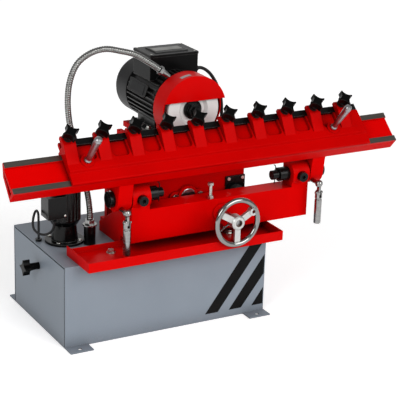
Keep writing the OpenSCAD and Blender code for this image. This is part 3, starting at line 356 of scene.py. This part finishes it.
def turned_casting(axis, rim_mm, hub_mm):
    """A cast aluminium handwheel: satin spokes, a turned and polished rim, a greasy steel end in its hub."""
    material, tree, place = blank("cast_aluminium_with_polished_rim")
    from_axis = add(tree, "ShaderNodeVectorMath", {"operation": "SUBTRACT", 1: axis}, {0: place})
    flat = add(tree, "ShaderNodeVectorMath", {"operation": "MULTIPLY", 1: (1.0, 0.0, 1.0)},
        {0: from_axis.outputs["Vector"]})
    reach = add(tree, "ShaderNodeVectorMath", {"operation": "LENGTH"}, {0: flat.outputs["Vector"]})
    rim = add(tree, "ShaderNodeMapRange", {"From Min": (rim_mm - 1) * MM, "From Max": (rim_mm + 1) * MM},
        {"Value": reach.outputs["Value"]})
    hub = add(tree, "ShaderNodeMapRange", {"From Min": (hub_mm + 0.6) * MM, "From Max": (hub_mm - 0.6) * MM},
        {"Value": reach.outputs["Value"]})
    smear = add(tree, "ShaderNodeTexNoise", {"Scale": per_metre(12), "Detail": 3.0}, {"Vector": place})
    sand = add(tree, "ShaderNodeTexNoise", {"Scale": per_metre(1.6), "Detail": 2.0}, {"Vector": place})
    edge = add(tree, "ShaderNodeBevel", {"samples": 6, "Radius": 1.5 * MM})
    cast = add(tree, "ShaderNodeMix", {"data_type": "RGBA", 6: linear("#bdbdbb"), 7: linear("#d2d2d0")},
        {0: smear.outputs["Fac"]})
    turned = add(tree, "ShaderNodeMix", {"data_type": "RGBA", 7: linear("#8e8e8c")},
        {0: rim.outputs["Result"], 6: cast.outputs[2]})
    colour = add(tree, "ShaderNodeMix", {"data_type": "RGBA", 7: linear("#5c443a")},
        {0: hub.outputs["Result"], 6: turned.outputs[2]})
    gloss = add(tree, "ShaderNodeMapRange", {"To Min": 0.42, "To Max": 0.09},
        {"Value": rim.outputs["Result"]})
    skin = add(tree, "ShaderNodeBump", {"Distance": 0.08 * MM, "Strength": 0.35},
        {"Height": sand.outputs["Fac"], "Normal": edge.outputs["Normal"]})
    metal = add(tree, "ShaderNodeBsdfPrincipled", {"Metallic": 1.0},
        {"Base Color": colour.outputs[2], "Roughness": gloss.outputs["Result"],
            "Normal": skin.outputs["Normal"]})
    add(tree, "ShaderNodeOutputMaterial", {}, {"Surface": metal.outputs["BSDF"]})
    return material


def white_corundum():
    """Vitrified white corundum: chalky off-white, its 0.4 mm grit drawn at 1.2 mm so that it shows."""
    material, tree, place = blank("white_corundum")
    grit = add(tree, "ShaderNodeTexVoronoi", {"Scale": per_metre(1.2)}, {"Vector": place})
    stain = add(tree, "ShaderNodeTexNoise", {"Scale": per_metre(40), "Detail": 4.0}, {"Vector": place})
    speck = add(tree, "ShaderNodeMath", {"operation": "MULTIPLY_ADD", 1: 0.4},
        {0: grit.outputs["Distance"], 2: stain.outputs["Fac"]})
    edge = add(tree, "ShaderNodeBevel", {"samples": 6, "Radius": 1.0 * MM})
    colour = add(tree, "ShaderNodeMix", {"data_type": "RGBA", 6: linear("#cfcbca"), 7: linear("#e8e5e3")},
        {0: speck.outputs["Value"]})
    skin = add(tree, "ShaderNodeBump", {"Distance": 0.3 * MM, "Strength": 0.8},
        {"Height": grit.outputs["Distance"], "Normal": edge.outputs["Normal"]})
    stone = add(tree, "ShaderNodeBsdfPrincipled", {"Roughness": 0.9, "IOR": 1.6},
        {"Base Color": colour.outputs[2], "Normal": skin.outputs["Normal"]})
    add(tree, "ShaderNodeOutputMaterial", {}, {"Surface": stone.outputs["BSDF"]})
    return material


RED_CASTING = enamel("red_enamel_on_cast_iron", "#c80000", "#e00000",
    peel_mm=3.0, depth_mm=0.25, edge_mm=2.0, smooth=0.28, dull=0.40, shine=0.02)
# The holder's enamel is a darker copy of the frame's red: painted shade on the holder and its lands
RED_HOLDER_SHADED = enamel("red_enamel_darkened_as_shade_on_ribbed_casting", "#b20000", "#ce0000",
    peel_mm=3.0, depth_mm=0.25, edge_mm=2.5, smooth=0.32, dull=0.44, shine=0.02)
RED_SHEET = enamel("red_enamel_on_sheet_steel", "#c20000", "#d80000",
    peel_mm=2.0, depth_mm=0.06, edge_mm=1.2, smooth=0.26, dull=0.36, shine=0.05)
GREY = enamel("grey_stoved_enamel", "#7e8791", "#8a939d",
    peel_mm=1.4, depth_mm=0.08, edge_mm=1.5, smooth=0.36, dull=0.48, shine=0.15)
FILM = enamel("silver_label_film", "#8e8888", "#aaa4a4",
    peel_mm=1.5, depth_mm=0.02, edge_mm=0.3, smooth=0.30, dull=0.42, shine=0.3)
PHENOLIC = black_skin("moulded_phenolic", "#030303", "#080808",
    rough=0.26, grain_mm=0.9, depth_mm=0.03, edge_mm=1.4, shine=0.07, edge_highlight=0.15)
MOTOR_PAINT = black_skin("black_paint_on_cast_aluminium", "#060606", "#0f0f0f",
    rough=0.30, grain_mm=1.6, depth_mm=0.10, edge_mm=1.6, shine=0.3, edge_highlight=0.5)
COVER_PAINT = black_skin("charcoal_paint_on_pressed_steel", "#121213", "#1b1b1c",
    rough=0.44, grain_mm=1.2, depth_mm=0.05, edge_mm=1.5)
ABS = black_skin("moulded_abs", "#060606", "#0d0d0d",
    rough=0.28, grain_mm=1.0, depth_mm=0.05, edge_mm=1.8, shine=0.08, edge_highlight=0.5)
PUMP_PAINT = black_skin("black_gloss_paint", "#030303", "#080808",
    rough=0.18, grain_mm=1.4, depth_mm=0.06, edge_mm=1.6, shine=0.2, edge_highlight=0.5)
RUBBER = black_skin("moulded_rubber", "#0d0d0d", "#171717",
    rough=0.62, grain_mm=1.0, depth_mm=0.06, edge_mm=0.6)
CABLE = black_skin("pvc_sheath", "#0f0f10", "#171718",
    rough=0.42, grain_mm=1.2, depth_mm=0.03, edge_mm=0.3)
BLACK_STEEL = black_skin("blacked_steel", "#0a0a0a", "#141414",
    rough=0.22, grain_mm=1.0, depth_mm=0.03, edge_mm=1.4, metal=0.4, edge_highlight=0.2)
STRIPE = black_skin("black_vinyl_film", "#080808", "#0e0e0e",
    rough=0.44, grain_mm=1.5, depth_mm=0.02, edge_mm=0.2, shine=0.08)
ROD_STEEL = bare_metal("ground_shafting", "#8c8e90", "#b2b4b6",
    rough=0.22, stretch=ALONG_Y, mark_mm=1.5, depth_mm=0.01, edge_mm=0.5)
TURNED_STEEL = bare_metal("turned_steel", "#8e8e90", "#a8a8aa",
    rough=0.32, stretch=TURNED, mark_mm=1.4, depth_mm=0.03, edge_mm=1.5, turn=-BEAM_ANGLE)
ZINC = bare_metal("zinc_plate", "#b6b6b0", "#dadad4",
    rough=0.26, stretch=ALL_WAYS, mark_mm=3.0, depth_mm=0.03, edge_mm=0.6)
CHROME = bare_metal("satin_chrome_plate", "#888888", "#a2a2a0",
    rough=0.20, stretch=ALL_WAYS, mark_mm=6.0, depth_mm=0.02, edge_mm=0.8)
STRIP_STEEL = bare_metal("wound_bright_strip", "#6e6e6c", "#9c9c9a",
    rough=0.14, stretch=ALL_WAYS, mark_mm=4.0, depth_mm=0.02, edge_mm=0.3)
PLATE = bare_metal("anodised_plate", "#72726e", "#868682",
    rough=0.36, stretch=ALONG_X, mark_mm=1.2, depth_mm=0.01, edge_mm=0.3)
BRONZE = bare_metal("machined_bronze", "#8a6c38", "#b08d4e",
    rough=0.34, stretch=ALL_WAYS, mark_mm=3.0, depth_mm=0.03, edge_mm=0.6)
WAY_STEEL = ground_way(up=(0.0, -math.sin(BEAM_ANGLE), math.cos(BEAM_ANGLE)))
ALUMINIUM = turned_casting(axis=sum(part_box("handwheel"), Vector()) / 2, rim_mm=44, hub_mm=8)
CORUNDUM = white_corundum()

FINISHES = {
    GREY: ["base_cabinet", "coolant_drawer"],
    RED_SHEET: ["drip_tray", "wheel_guard"],
    RED_CASTING: ["main_frame", "rear_bracket", "screw_bush", "saddle", "guide_flange", "swing_beam"],
    RED_HOLDER_SHADED: ["knife_holder"],
    PHENOLIC: ["drawer_knob"] + [f"clamp_knob_{i}" for i in range(1, 11)],
    MOTOR_PAINT: ["motor_body", "front_shield"],
    PUMP_PAINT: ["pump_base", "pump_motor", "riser_pipe"],
    COVER_PAINT: ["fan_cover"],
    ABS: ["terminal_box", "terminal_lid", "cooling_fan"],
    RUBBER: ["bellows_left", "bellows_right"],
    CABLE: ["motor_lead", "pump_lead"],
    BLACK_STEEL: ["pivot_shafts", "shaft_collars", "ear_screws", "bellows_plates"]
        + ["clamp_bar", "wheel_flange"],
    WAY_STEEL: ["slide_ways"],
    ROD_STEEL: ["guide_rods", "lead_screw", "rotor_shaft"],
    TURNED_STEEL: ["push_handles"],
    ZINC: ["tray_bolts", "stop_bolt", "flange_bolts", "motor_bolts"],
    CHROME: ["lock_stud_left", "lock_handle_left", "lock_stud_right", "lock_handle_right"]
        + ["infeed_lock", "hose_fittings"],
    ALUMINIUM: ["handwheel"],
    STRIP_STEEL: ["gooseneck_hose"],
    BRONZE: ["lead_nut"],
    CORUNDUM: ["grinding_wheel"],
}
for finish, names in FINISHES.items():
    for name in names:
        nodes[name].data.materials.clear()
        nodes[name].data.materials.append(finish)


# Leads: round sheaths on the routes of their solids

LEAD_STEPS = 3
MOTOR_LEAD_D = 8 * MM
MOTOR_LEAD = [(x, y, SPINDLE + z) for x, y, z in (
    (179, 76, 59), (190, 76, 58), (206, 76, 49), (222, 76, 31), (236, 76, 6), (245, 76, -22), (248, 76, -54),
    (245, 74, -82), (236, 70, -104), (222, 66, -117), (206, 64, -121), (190, 64, -121))]
PUMP_LEAD_D = 5.5 * MM
PUMP_GLAND = (-226, -30)
PUMP_GLAND_Z = TOP + 64
LOOP_R = 23
LOOP_Z = TOP + 55
LOOP_OUT = (-0.88, 0.475)
LOOP_BACK = (0.62, 0.785)


def half_loop(at, heading, turn):
    """Half a loop of lead that leaves a point on a heading, below it or above it."""
    loop = []
    for a in (math.radians(step) for step in range(30, 180, 30)):
        out = LOOP_R * (1 - math.cos(a))
        z = LOOP_Z + turn * LOOP_R * math.sin(a)
        loop.append((at[0] + heading[0] * out, at[1] + heading[1] * out, z))
    return loop


loop_at = tuple(g + 2 * LOOP_R * h for g, h in zip(PUMP_GLAND, LOOP_OUT))
grommet_at = tuple(g + 2 * LOOP_R * h for g, h in zip(loop_at, LOOP_BACK))
PUMP_LEAD = ([(*PUMP_GLAND, PUMP_GLAND_Z), (*PUMP_GLAND, LOOP_Z)] + half_loop(PUMP_GLAND, LOOP_OUT, -1)
    + [(*loop_at, LOOP_Z)] + half_loop(loop_at, LOOP_BACK, 1)
    + [(*grommet_at, LOOP_Z), (*grommet_at, TOP + 30), (*grommet_at, TOP + 6)])


def lead(name, route, diameter, body, node):
    """A lead held at both ends, with its real length and thickness."""
    line = smooth_route(route, LEAD_STEPS)
    curve = bpy.data.curves.new(name, "CURVE")
    curve.dimensions = "3D"
    curve.bevel_depth = diameter / 2
    curve.bevel_resolution = 5
    curve.use_fill_caps = True
    spline = curve.splines.new("POLY")
    spline.points.add(len(line) - 1)
    for point, at in zip(spline.points, line):
        point.co = (*at, 1.0)
    spline.use_smooth = True
    obj = piece(name, curve, CABLE, body)
    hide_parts(node)


lead("motor_cable", MOTOR_LEAD, MOTOR_LEAD_D, "saddle", "motor_lead")
lead("pump_cable", PUMP_LEAD, PUMP_LEAD_D, "base", "pump_lead")


# Gooseneck: a strip-wound hose, each turn a rounded rib

HOSE = [(x, y, TOP + z) for x, y, z in (
    (-142, -34, 58), (-142, -34, 72), (-142, -28, 97), (-142, -14, 127), (-144, 2, 162), (-152, 8, 207),
    (-164, 8, 242), (-173, 6, 272), (-179, 2, 320), (-177, -4, 366), (-164, -12, 405), (-138, -20, 428),
    (-106, -28, 437), (-72, -34, 431), (-38, -40, 421), (-3, -44, 399), (18, -44, 384))]
HOSE_STEPS = 24
# A direction that the hose never runs along
HOSE_ACROSS = Vector((0.3, 1.0, 0.1))
HOSE_R = 7.0 * MM
RIB_DEPTH = 1.5 * MM
RIB_PITCH = 5.0 * MM
HOSE_SIDES = 24
RIB_RINGS = 6


def hose_rings():
    """Rings along the hose at even steps, each as wide as its place on the rib."""
    line = smooth_route(HOSE, HOSE_STEPS)
    reach = [0.0]
    for a, b in zip(line, line[1:]):
        reach.append(reach[-1] + (b - a).length)
    count = round(reach[-1] / RIB_PITCH) * RIB_RINGS
    rings, at = [], 0
    for i in range(count + 1):
        s = reach[-1] * i / count
        while at < len(line) - 2 and reach[at + 1] < s:
            at += 1
        t = (s - reach[at]) / (reach[at + 1] - reach[at])
        middle = line[at].lerp(line[at + 1], t)
        ahead = (line[min(at + 2, len(line) - 1)] - line[max(at - 1, 0)]).normalized()
        side = ahead.cross(HOSE_ACROSS).normalized()
        over = side.cross(ahead)
        phase = (i % RIB_RINGS) / RIB_RINGS
        radius = HOSE_R - RIB_DEPTH * (1 - abs(math.sin(math.pi * phase))) ** 2
        rings.append(circle(middle, side, over, radius, HOSE_SIDES))
    return rings


hose = drawn("gooseneck", lambda bm: loft(bm, hose_rings()), STRIP_STEEL, "base", smooth=True)
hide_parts("gooseneck_hose")


# Bellows: round folded rubber on each guide rod, from the frame's post to the plate on the saddle

BELLOWS_FRONT = -79.6 * MM
BELLOWS_FOLDS = 5
BELLOWS_SIDES = 48
BELLOWS_BORE = 13.6 * MM
FOLD_DEPTH = 4.0 * MM
FOLD_CREST = (0.35, 0.65)
SAME_POINT = 1e-6


def bellows_mesh(bm, middle, radius, front, rear):
    """A tube of flat-topped folds around an open bore."""

    def fold(y, r):
        return circle(Vector((middle.x, y, middle.z)), RIGHTWARD, UPWARD, r, BELLOWS_SIDES)

    pitch = (rear - front) / BELLOWS_FOLDS
    valley = radius - FOLD_DEPTH
    rings = [fold(front, BELLOWS_BORE)]
    for i in range(BELLOWS_FOLDS):
        y = front + i * pitch
        rings += [fold(y, valley)] + [fold(y + part * pitch, radius) for part in FOLD_CREST]
    rings += [fold(rear, valley), fold(rear, BELLOWS_BORE), fold(front, BELLOWS_BORE)]
    loft(bm, rings, closed_ends=False)
    bmesh.ops.remove_doubles(bm, verts=bm.verts, dist=SAME_POINT)


for side in ("left", "right"):
    low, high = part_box(f"bellows_{side}")
    middle, radius = (low + high) / 2, (high.z - low.z) / 2
    name = f"folded_bellows_{side}"
    mesh = mesh_of(name, lambda bm: bellows_mesh(bm, middle, radius, BELLOWS_FRONT, high.y))
    folded = bpy.data.objects.new(name, mesh)
    bpy.context.scene.collection.objects.link(folded)
    mesh.materials.append(RUBBER)
    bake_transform(folded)
    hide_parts(f"bellows_{side}")


# Guide flange: a turned steel end plate on its boss

END_PLATE_R = 18
END_PLATE_T = 1.5
END_PLATE_SIDES = 40
END_PLATE_SHARES = [(0.25, 0.0), (0.25, 0.6), (0.93, 0.6), (0.93, 1.0), (1.0, 0.75), (1.0, 0.0)]

end_plate = [(END_PLATE_R * w, END_PLATE_T * h) for w, h in END_PLATE_SHARES]
boss_low, boss_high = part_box("guide_flange")
boss_face = Vector(((boss_low.x + boss_high.x) / 2, boss_low.y, (boss_low.z + boss_high.z) / 2))
drawn("guide_end_plate", lambda bm: turned_mesh(bm, boss_face, FORWARD, end_plate, END_PLATE_SIDES),
    ROD_STEEL, "saddle")


# Stripes: three slanted bands of film on the cabinet's front, as corners in X and Z

FILM_T = 0.2 * MM
CABINET_FRONT = -144 * MM
BANDS = {
    "stripe_wide": [(96, 17), (129, 17), (248, 178), (248, 186), (220, 186)],
    "stripe_middle": [(158, 17), (190, 17), (248, 93), (248, 140)],
    "stripe_corner": [(218, 17), (248, 17), (248, 59)],
}


def band_mesh(bm, corners):
    """A thin film on the cabinet's front, inside its corners."""
    loft(bm, [[Vector((x * MM, y, z * MM)) for x, z in corners]
        for y in (CABINET_FRONT, CABINET_FRONT - FILM_T)])


for name, corners in BANDS.items():
    drawn(name, lambda bm: band_mesh(bm, corners), STRIPE, "base")


# Lands of the knife holder: low cast lands beside the fingers, which leave a pocket with round lower corners

FINGER_W = 28.0
LAND_W = 6.5
LAND_FOOT, LAND_HEAD = 43.5, 86.5
LAND_LOW, LAND_TOP = 7.6, 14.8
POCKET_FOOT = 50.0
POCKET_R = 8.0
POCKET_STEPS = 6
DRAFT = 1.5
SUNK = 0.3
WAY_H = 5.0
ways_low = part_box("slide_ways")[0] / MM
SLOPE_Y, SLOPE_Z = ways_low.y, ways_low.z + WAY_H * math.cos(BEAM_ANGLE)


def on_slope(x, up, out):
    """A point in metres from millimetres along the beam, up its slope and out of it."""
    c, s = math.cos(BEAM_ANGLE), math.sin(BEAM_ANGLE)
    return Vector((x, SLOPE_Y + up * c - out * s, SLOPE_Z + up * s + out * c)) * MM


def land_outline(left, right, draft):
    """One bay's land, seen square to the slope: a U around its pocket."""
    near, far, foot = left + LAND_W - draft, right - LAND_W + draft, POCKET_FOOT - draft
    quarter = [math.pi / 2 * k / POCKET_STEPS for k in range(POCKET_STEPS + 1)]
    outline = [(left, LAND_FOOT), (right, LAND_FOOT), (right, LAND_HEAD), (far, LAND_HEAD)]
    for a in quarter:
        outline.append((far - POCKET_R + POCKET_R * math.cos(a), foot + POCKET_R - POCKET_R * math.sin(a)))
    for a in quarter:
        outline.append((near + POCKET_R - POCKET_R * math.sin(a), foot + POCKET_R - POCKET_R * math.cos(a)))
    return outline + [(near, LAND_HEAD), (left, LAND_HEAD)]


def end_outline(left, right, draft):
    """The land past the last finger, which has no pocket."""
    return [(left, LAND_FOOT), (right - draft, LAND_FOOT), (right - draft, LAND_HEAD), (left, LAND_HEAD)]


def lands_mesh(bm, bays, end):
    """All lands, drawn in a little toward their tops as a casting is."""
    for outline, span in [(land_outline, bay) for bay in bays] + [(end_outline, end)]:
        loft(bm, [[on_slope(x, up, out) for x, up in outline(*span, draft)]
            for out, draft in ((LAND_LOW, 0.0), (LAND_TOP, DRAFT))])


finger_xs = [sum(corner.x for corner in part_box(f"clamp_knob_{i}")) / 2 / MM for i in range(1, 11)]
bays = [(a + FINGER_W / 2 - SUNK, b - FINGER_W / 2 + SUNK) for a, b in zip(finger_xs, finger_xs[1:])]
end = (finger_xs[-1] + FINGER_W / 2 - SUNK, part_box("knife_holder")[1].x / MM - SUNK)
drawn("holder_lands", lambda bm: lands_mesh(bm, bays, end), RED_HOLDER_SHADED, "holder")


# Small screws: domed heads on the terminal lid, the pump's flange and its switch box

SCREW_SHARES = [(1.0, 0.0), (1.0, 0.25), (0.85, 0.42), (0.55, 0.52), (0.2, 0.55)]
SCREW_SIDES = 20
LID_SCREW_D = 5
LID_SCREW_IN = 7 * MM
LID_STEP = 2 * MM
PUMP_AT = Vector((-185, 6, TOP + 6)) * MM
PUMP_SCREW_D = 9
PUMP_SCREW_R = 36 * MM
SWITCH_SCREW_D = 5.5
SWITCH_SCREW_AT = Vector((-207, -48, TOP + 80)) * MM


def screw(name, at, out, head_mm, body):
    """A domed screw head standing on a point."""
    head = [(head_mm / 2 * w, head_mm / 2 * h) for w, h in SCREW_SHARES]
    drawn(name, lambda bm: turned_mesh(bm, at, out, head, SCREW_SIDES), ZINC, body, smooth=True)


lid_low, lid_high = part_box("terminal_lid")
lid_corners = [(x, y) for x in (lid_low.x + LID_SCREW_IN, lid_high.x - LID_SCREW_IN)
    for y in (lid_low.y + LID_SCREW_IN, lid_high.y - LID_SCREW_IN)]
for i, (x, y) in enumerate(lid_corners):
    screw(f"lid_screw_{i}", Vector((x, y, lid_high.z - LID_STEP)), UPWARD, LID_SCREW_D, "saddle")
for i in range(4):
    a = math.radians(45 + 90 * i)
    at = PUMP_AT + PUMP_SCREW_R * Vector((math.cos(a), math.sin(a), 0))
    screw(f"pump_screw_{i}", at, UPWARD, PUMP_SCREW_D, "base")
screw("switch_box_screw", SWITCH_SCREW_AT, FORWARD, SWITCH_SCREW_D, "base")


# Plates without lettering: on the terminal lid, on the motor's fins and on the guard

PLATE_BEVEL = ((1.0, 0.0), (1.0, 0.7), (0.985, 1.0))
LID_PLATE_AT = Vector((SPINDLE_X, 86, SPINDLE + 109))
FIN_SIDE = math.radians(161)
FIN_R = 67.5
FIN_Y = 96
PAD_T = 3.0
LABEL_FROM, LABEL_STEP, LABEL_ROWS = 94, 2, 10
LABEL_INNER, LABEL_OUTER = 79.0 * MM, 79.3 * MM
LABEL_FRONT, LABEL_REAR = -48 * MM, -37 * MM


def plate_mesh(bm, middle, along, out, size):
    """A thin flat plate with cut corners, its back on a point."""
    length, width, thickness, corner = size
    across = out.cross(along)
    a, b = length / 2, width / 2
    outline = [(a - corner, -b), (a, corner - b), (a, b - corner), (a - corner, b)]
    outline += [(-x, -y) for x, y in outline]
    loft(bm, [[middle + along * x * s + across * y * s + out * thickness * h for x, y in outline]
        for s, h in PLATE_BEVEL])


def plate(name, middle_mm, along, out, size_mm, material, body):
    """A plate from its middle and its length, width, thickness and cut corner."""
    size = [v * MM for v in size_mm]
    drawn(name, lambda bm: plate_mesh(bm, middle_mm * MM, along, out, size), material, body)


def guard_label_mesh(bm):
    """A strip of film bent over the guard's rim."""
    centre = Vector((SPINDLE_X, 0, SPINDLE)) * MM
    section = [(LABEL_INNER, LABEL_FRONT), (LABEL_OUTER, LABEL_FRONT), (LABEL_OUTER, LABEL_REAR),
        (LABEL_INNER, LABEL_REAR)]
    turns = [math.radians(LABEL_FROM + LABEL_STEP * k) for k in range(LABEL_ROWS)]
    loft(bm, [[centre + Vector((r * math.cos(a), y, r * math.sin(a))) for r, y in section] for a in turns])


fin_out = Vector((math.cos(FIN_SIDE), 0, math.sin(FIN_SIDE)))
pad_at = Vector((SPINDLE_X, FIN_Y, SPINDLE)) + FIN_R * fin_out
pad_face = pad_at + PAD_T * fin_out
plate("lid_plate", LID_PLATE_AT, RIGHTWARD, UPWARD, (72, 26, 0.8, 2), PLATE, "saddle")
plate("motor_pad", pad_at, BACKWARD, fin_out, (88, 30, PAD_T, 3), MOTOR_PAINT, "saddle")
plate("motor_plate", pad_face, BACKWARD, fin_out, (66, 22, 0.6, 1.5), COVER_PAINT, "saddle")
drawn("guard_label", guard_label_mesh, FILM, "saddle")


# Turned and bent small parts: the spindle's nut, and the pins through the pivot shafts and their collars

SPINDLE_NOSE = Vector((SPINDLE_X, -59, SPINDLE)) * MM
WASHER = [(13.5, 0.0), (13.5, 1.6), (12.8, 2.2), (8.0, 2.2)]
NUT = [(10.5, 2.0), (10.5, 7.2), (9.2, 8.0), (5.2, 8.0), (5.2, 7.4), (1.0, 7.4)]
STUD = [(5.0, 7.0), (5.0, 9.0), (4.2, 9.8), (0.8, 9.8)]
for name, profile, sides, finish in (
    ("spindle_washer", WASHER, 48, BLACK_STEEL),
    ("spindle_nut", NUT, 6, BLACK_STEEL),
    ("spindle_stud", STUD, 32, ROD_STEEL),
):
    drawn(name, lambda bm: turned_mesh(bm, SPINDLE_NOSE, FORWARD, profile, sides),
        finish, "spindle")

PIVOT = (-106, TOP + 125)
PIN_BENDS = [(-1.5, 0, -21), (-0.5, 0, -8), (0.5, 0, 8), (0, 0, 18), (-2, -1, 23), (-6, -2, 25)]
PIN_R = 1.1 * MM
PIN_STEPS = 4
PIN_SIDES = 10
COLLAR_PIN = [(0.6, -20.6), (1.7, -20.2), (2.0, -19.4), (2.0, 19.4), (1.7, 20.2), (0.6, 20.6)]
COLLAR_PIN_SIDES = 16


def spring_pin_mesh(bm, x):
    """A spring pin bent over at its top end."""
    line = smooth_route([(x + dx, PIVOT[0] + dy, PIVOT[1] + dz) for dx, dy, dz in PIN_BENDS], PIN_STEPS)
    rings = []
    for a, b in zip(line, line[1:] + [line[-1] * 2 - line[-2]]):
        ahead = (b - a).normalized()
        side = ahead.cross(BACKWARD).normalized()
        rings.append(circle(a, side, side.cross(ahead), PIN_R, PIN_SIDES))
    loft(bm, rings)


for name, x in (("spring_pin_left", -8), ("spring_pin_right", 290)):
    drawn(name, lambda bm: spring_pin_mesh(bm, x), BLACK_STEEL, "base", smooth=True)
for name, x in (("collar_pin_left", -127.5), ("collar_pin_right", 407.5)):
    at = Vector((x, *PIVOT)) * MM
    drawn(name, lambda bm: turned_mesh(bm, at, UPWARD, COLLAR_PIN, COLLAR_PIN_SIDES),
        ZINC, "base", smooth=True)


# Studio: a pale floor, a broad key light from the front right, a fill, and a soft sky that is brighter behind

FLOOR_HALF = 20.0
FLOOR_LIFT = 0.42
SKY_LIGHT = 0.34
BACKDROP_LIGHT = 0.8
BACKDROP_AT = Vector((0.3, 0.95, 0.25)).normalized()
KEY_FROM = Vector((0.4, -1.2, 0.65))
KEY_STRENGTH = 1.7
KEY_SPREAD = math.radians(40)
FILL_AT = Vector((-2.2, -1.6, 1.8))
FILL_TO = Vector((0.1, -0.05, 0.3))
FILL_POWER = 30
FILL_SIZE = 1.6


def studio_paper():
    """Seamless backdrop paper: near white and matt, with a faint mottle."""
    material, tree, place = blank("white_paper")
    mottle = add(tree, "ShaderNodeTexNoise", {"Scale": per_metre(400)}, {"Vector": place})
    colour = add(tree, "ShaderNodeMix", {"data_type": "RGBA", 6: linear("#f6f6f6"), 7: linear("#fafafa")},
        {0: mottle.outputs["Fac"]})
    ray = add(tree, "ShaderNodeLightPath")
    mirrored = add(tree, "ShaderNodeMath", {"operation": "MAXIMUM"},
        {0: ray.outputs["Is Glossy Ray"], 1: ray.outputs["Is Transmission Ray"]})
    seen = add(tree, "ShaderNodeMath", {"operation": "MAXIMUM"},
        {0: ray.outputs["Is Camera Ray"], 1: mirrored.outputs["Value"]})
    lift = add(tree, "ShaderNodeMath", {"operation": "MULTIPLY", 1: FLOOR_LIFT},
        {0: seen.outputs["Value"]})
    paper = add(tree, "ShaderNodeBsdfPrincipled", {"Roughness": 0.95, "Emission Color": linear("#ffffff")},
        {"Base Color": colour.outputs[2], "Emission Strength": lift.outputs["Value"]})
    add(tree, "ShaderNodeOutputMaterial", {}, {"Surface": paper.outputs["BSDF"]})
    return material


def lamp(light, at, heading):
    """Place a light and turn it to shine along a heading."""
    obj = bpy.data.objects.new(light.name, light)
    obj.location = at
    obj.rotation_euler = heading.to_track_quat("-Z", "Y").to_euler()
    bpy.context.scene.collection.objects.link(obj)


floor_mesh = mesh_of("floor",
    lambda bm: bmesh.ops.create_grid(bm, x_segments=1, y_segments=1, size=FLOOR_HALF))
floor = bpy.data.objects.new("floor", floor_mesh)
bpy.context.scene.collection.objects.link(floor)
floor_mesh.materials.append(studio_paper())
floor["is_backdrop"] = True

world = bpy.data.worlds.new("studio")
world.use_nodes = True
bpy.context.scene.world = world
sky = world.node_tree.nodes["Background"]
sky.inputs["Color"].default_value = linear("#ffffff")
heading = add(world.node_tree, "ShaderNodeTexCoord")
toward = add(world.node_tree, "ShaderNodeVectorMath", {"operation": "DOT_PRODUCT", 1: BACKDROP_AT},
    {0: heading.outputs["Generated"]})
level = add(world.node_tree, "ShaderNodeMapRange",
    {"interpolation_type": "SMOOTHSTEP", "From Min": 0.7, "From Max": 0.95,
        "To Min": SKY_LIGHT, "To Max": BACKDROP_LIGHT},
    {"Value": toward.outputs["Value"]})
world.node_tree.links.new(level.outputs["Result"], sky.inputs["Strength"])

# A broad sun keeps the whole floor at one level: sky, sun and floor colour together come to white
key = bpy.data.lights.new("key", "SUN")
key.energy = KEY_STRENGTH
key.angle = KEY_SPREAD
lamp(key, Vector(), -KEY_FROM)

fill = bpy.data.lights.new("fill", "AREA")
fill.shape = "DISK"
fill.size = FILL_SIZE
fill.energy = FILL_POWER
lamp(fill, FILL_AT, FILL_TO - FILL_AT)

bpy.context.scene.view_settings.view_transform = "Standard"

low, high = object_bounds()
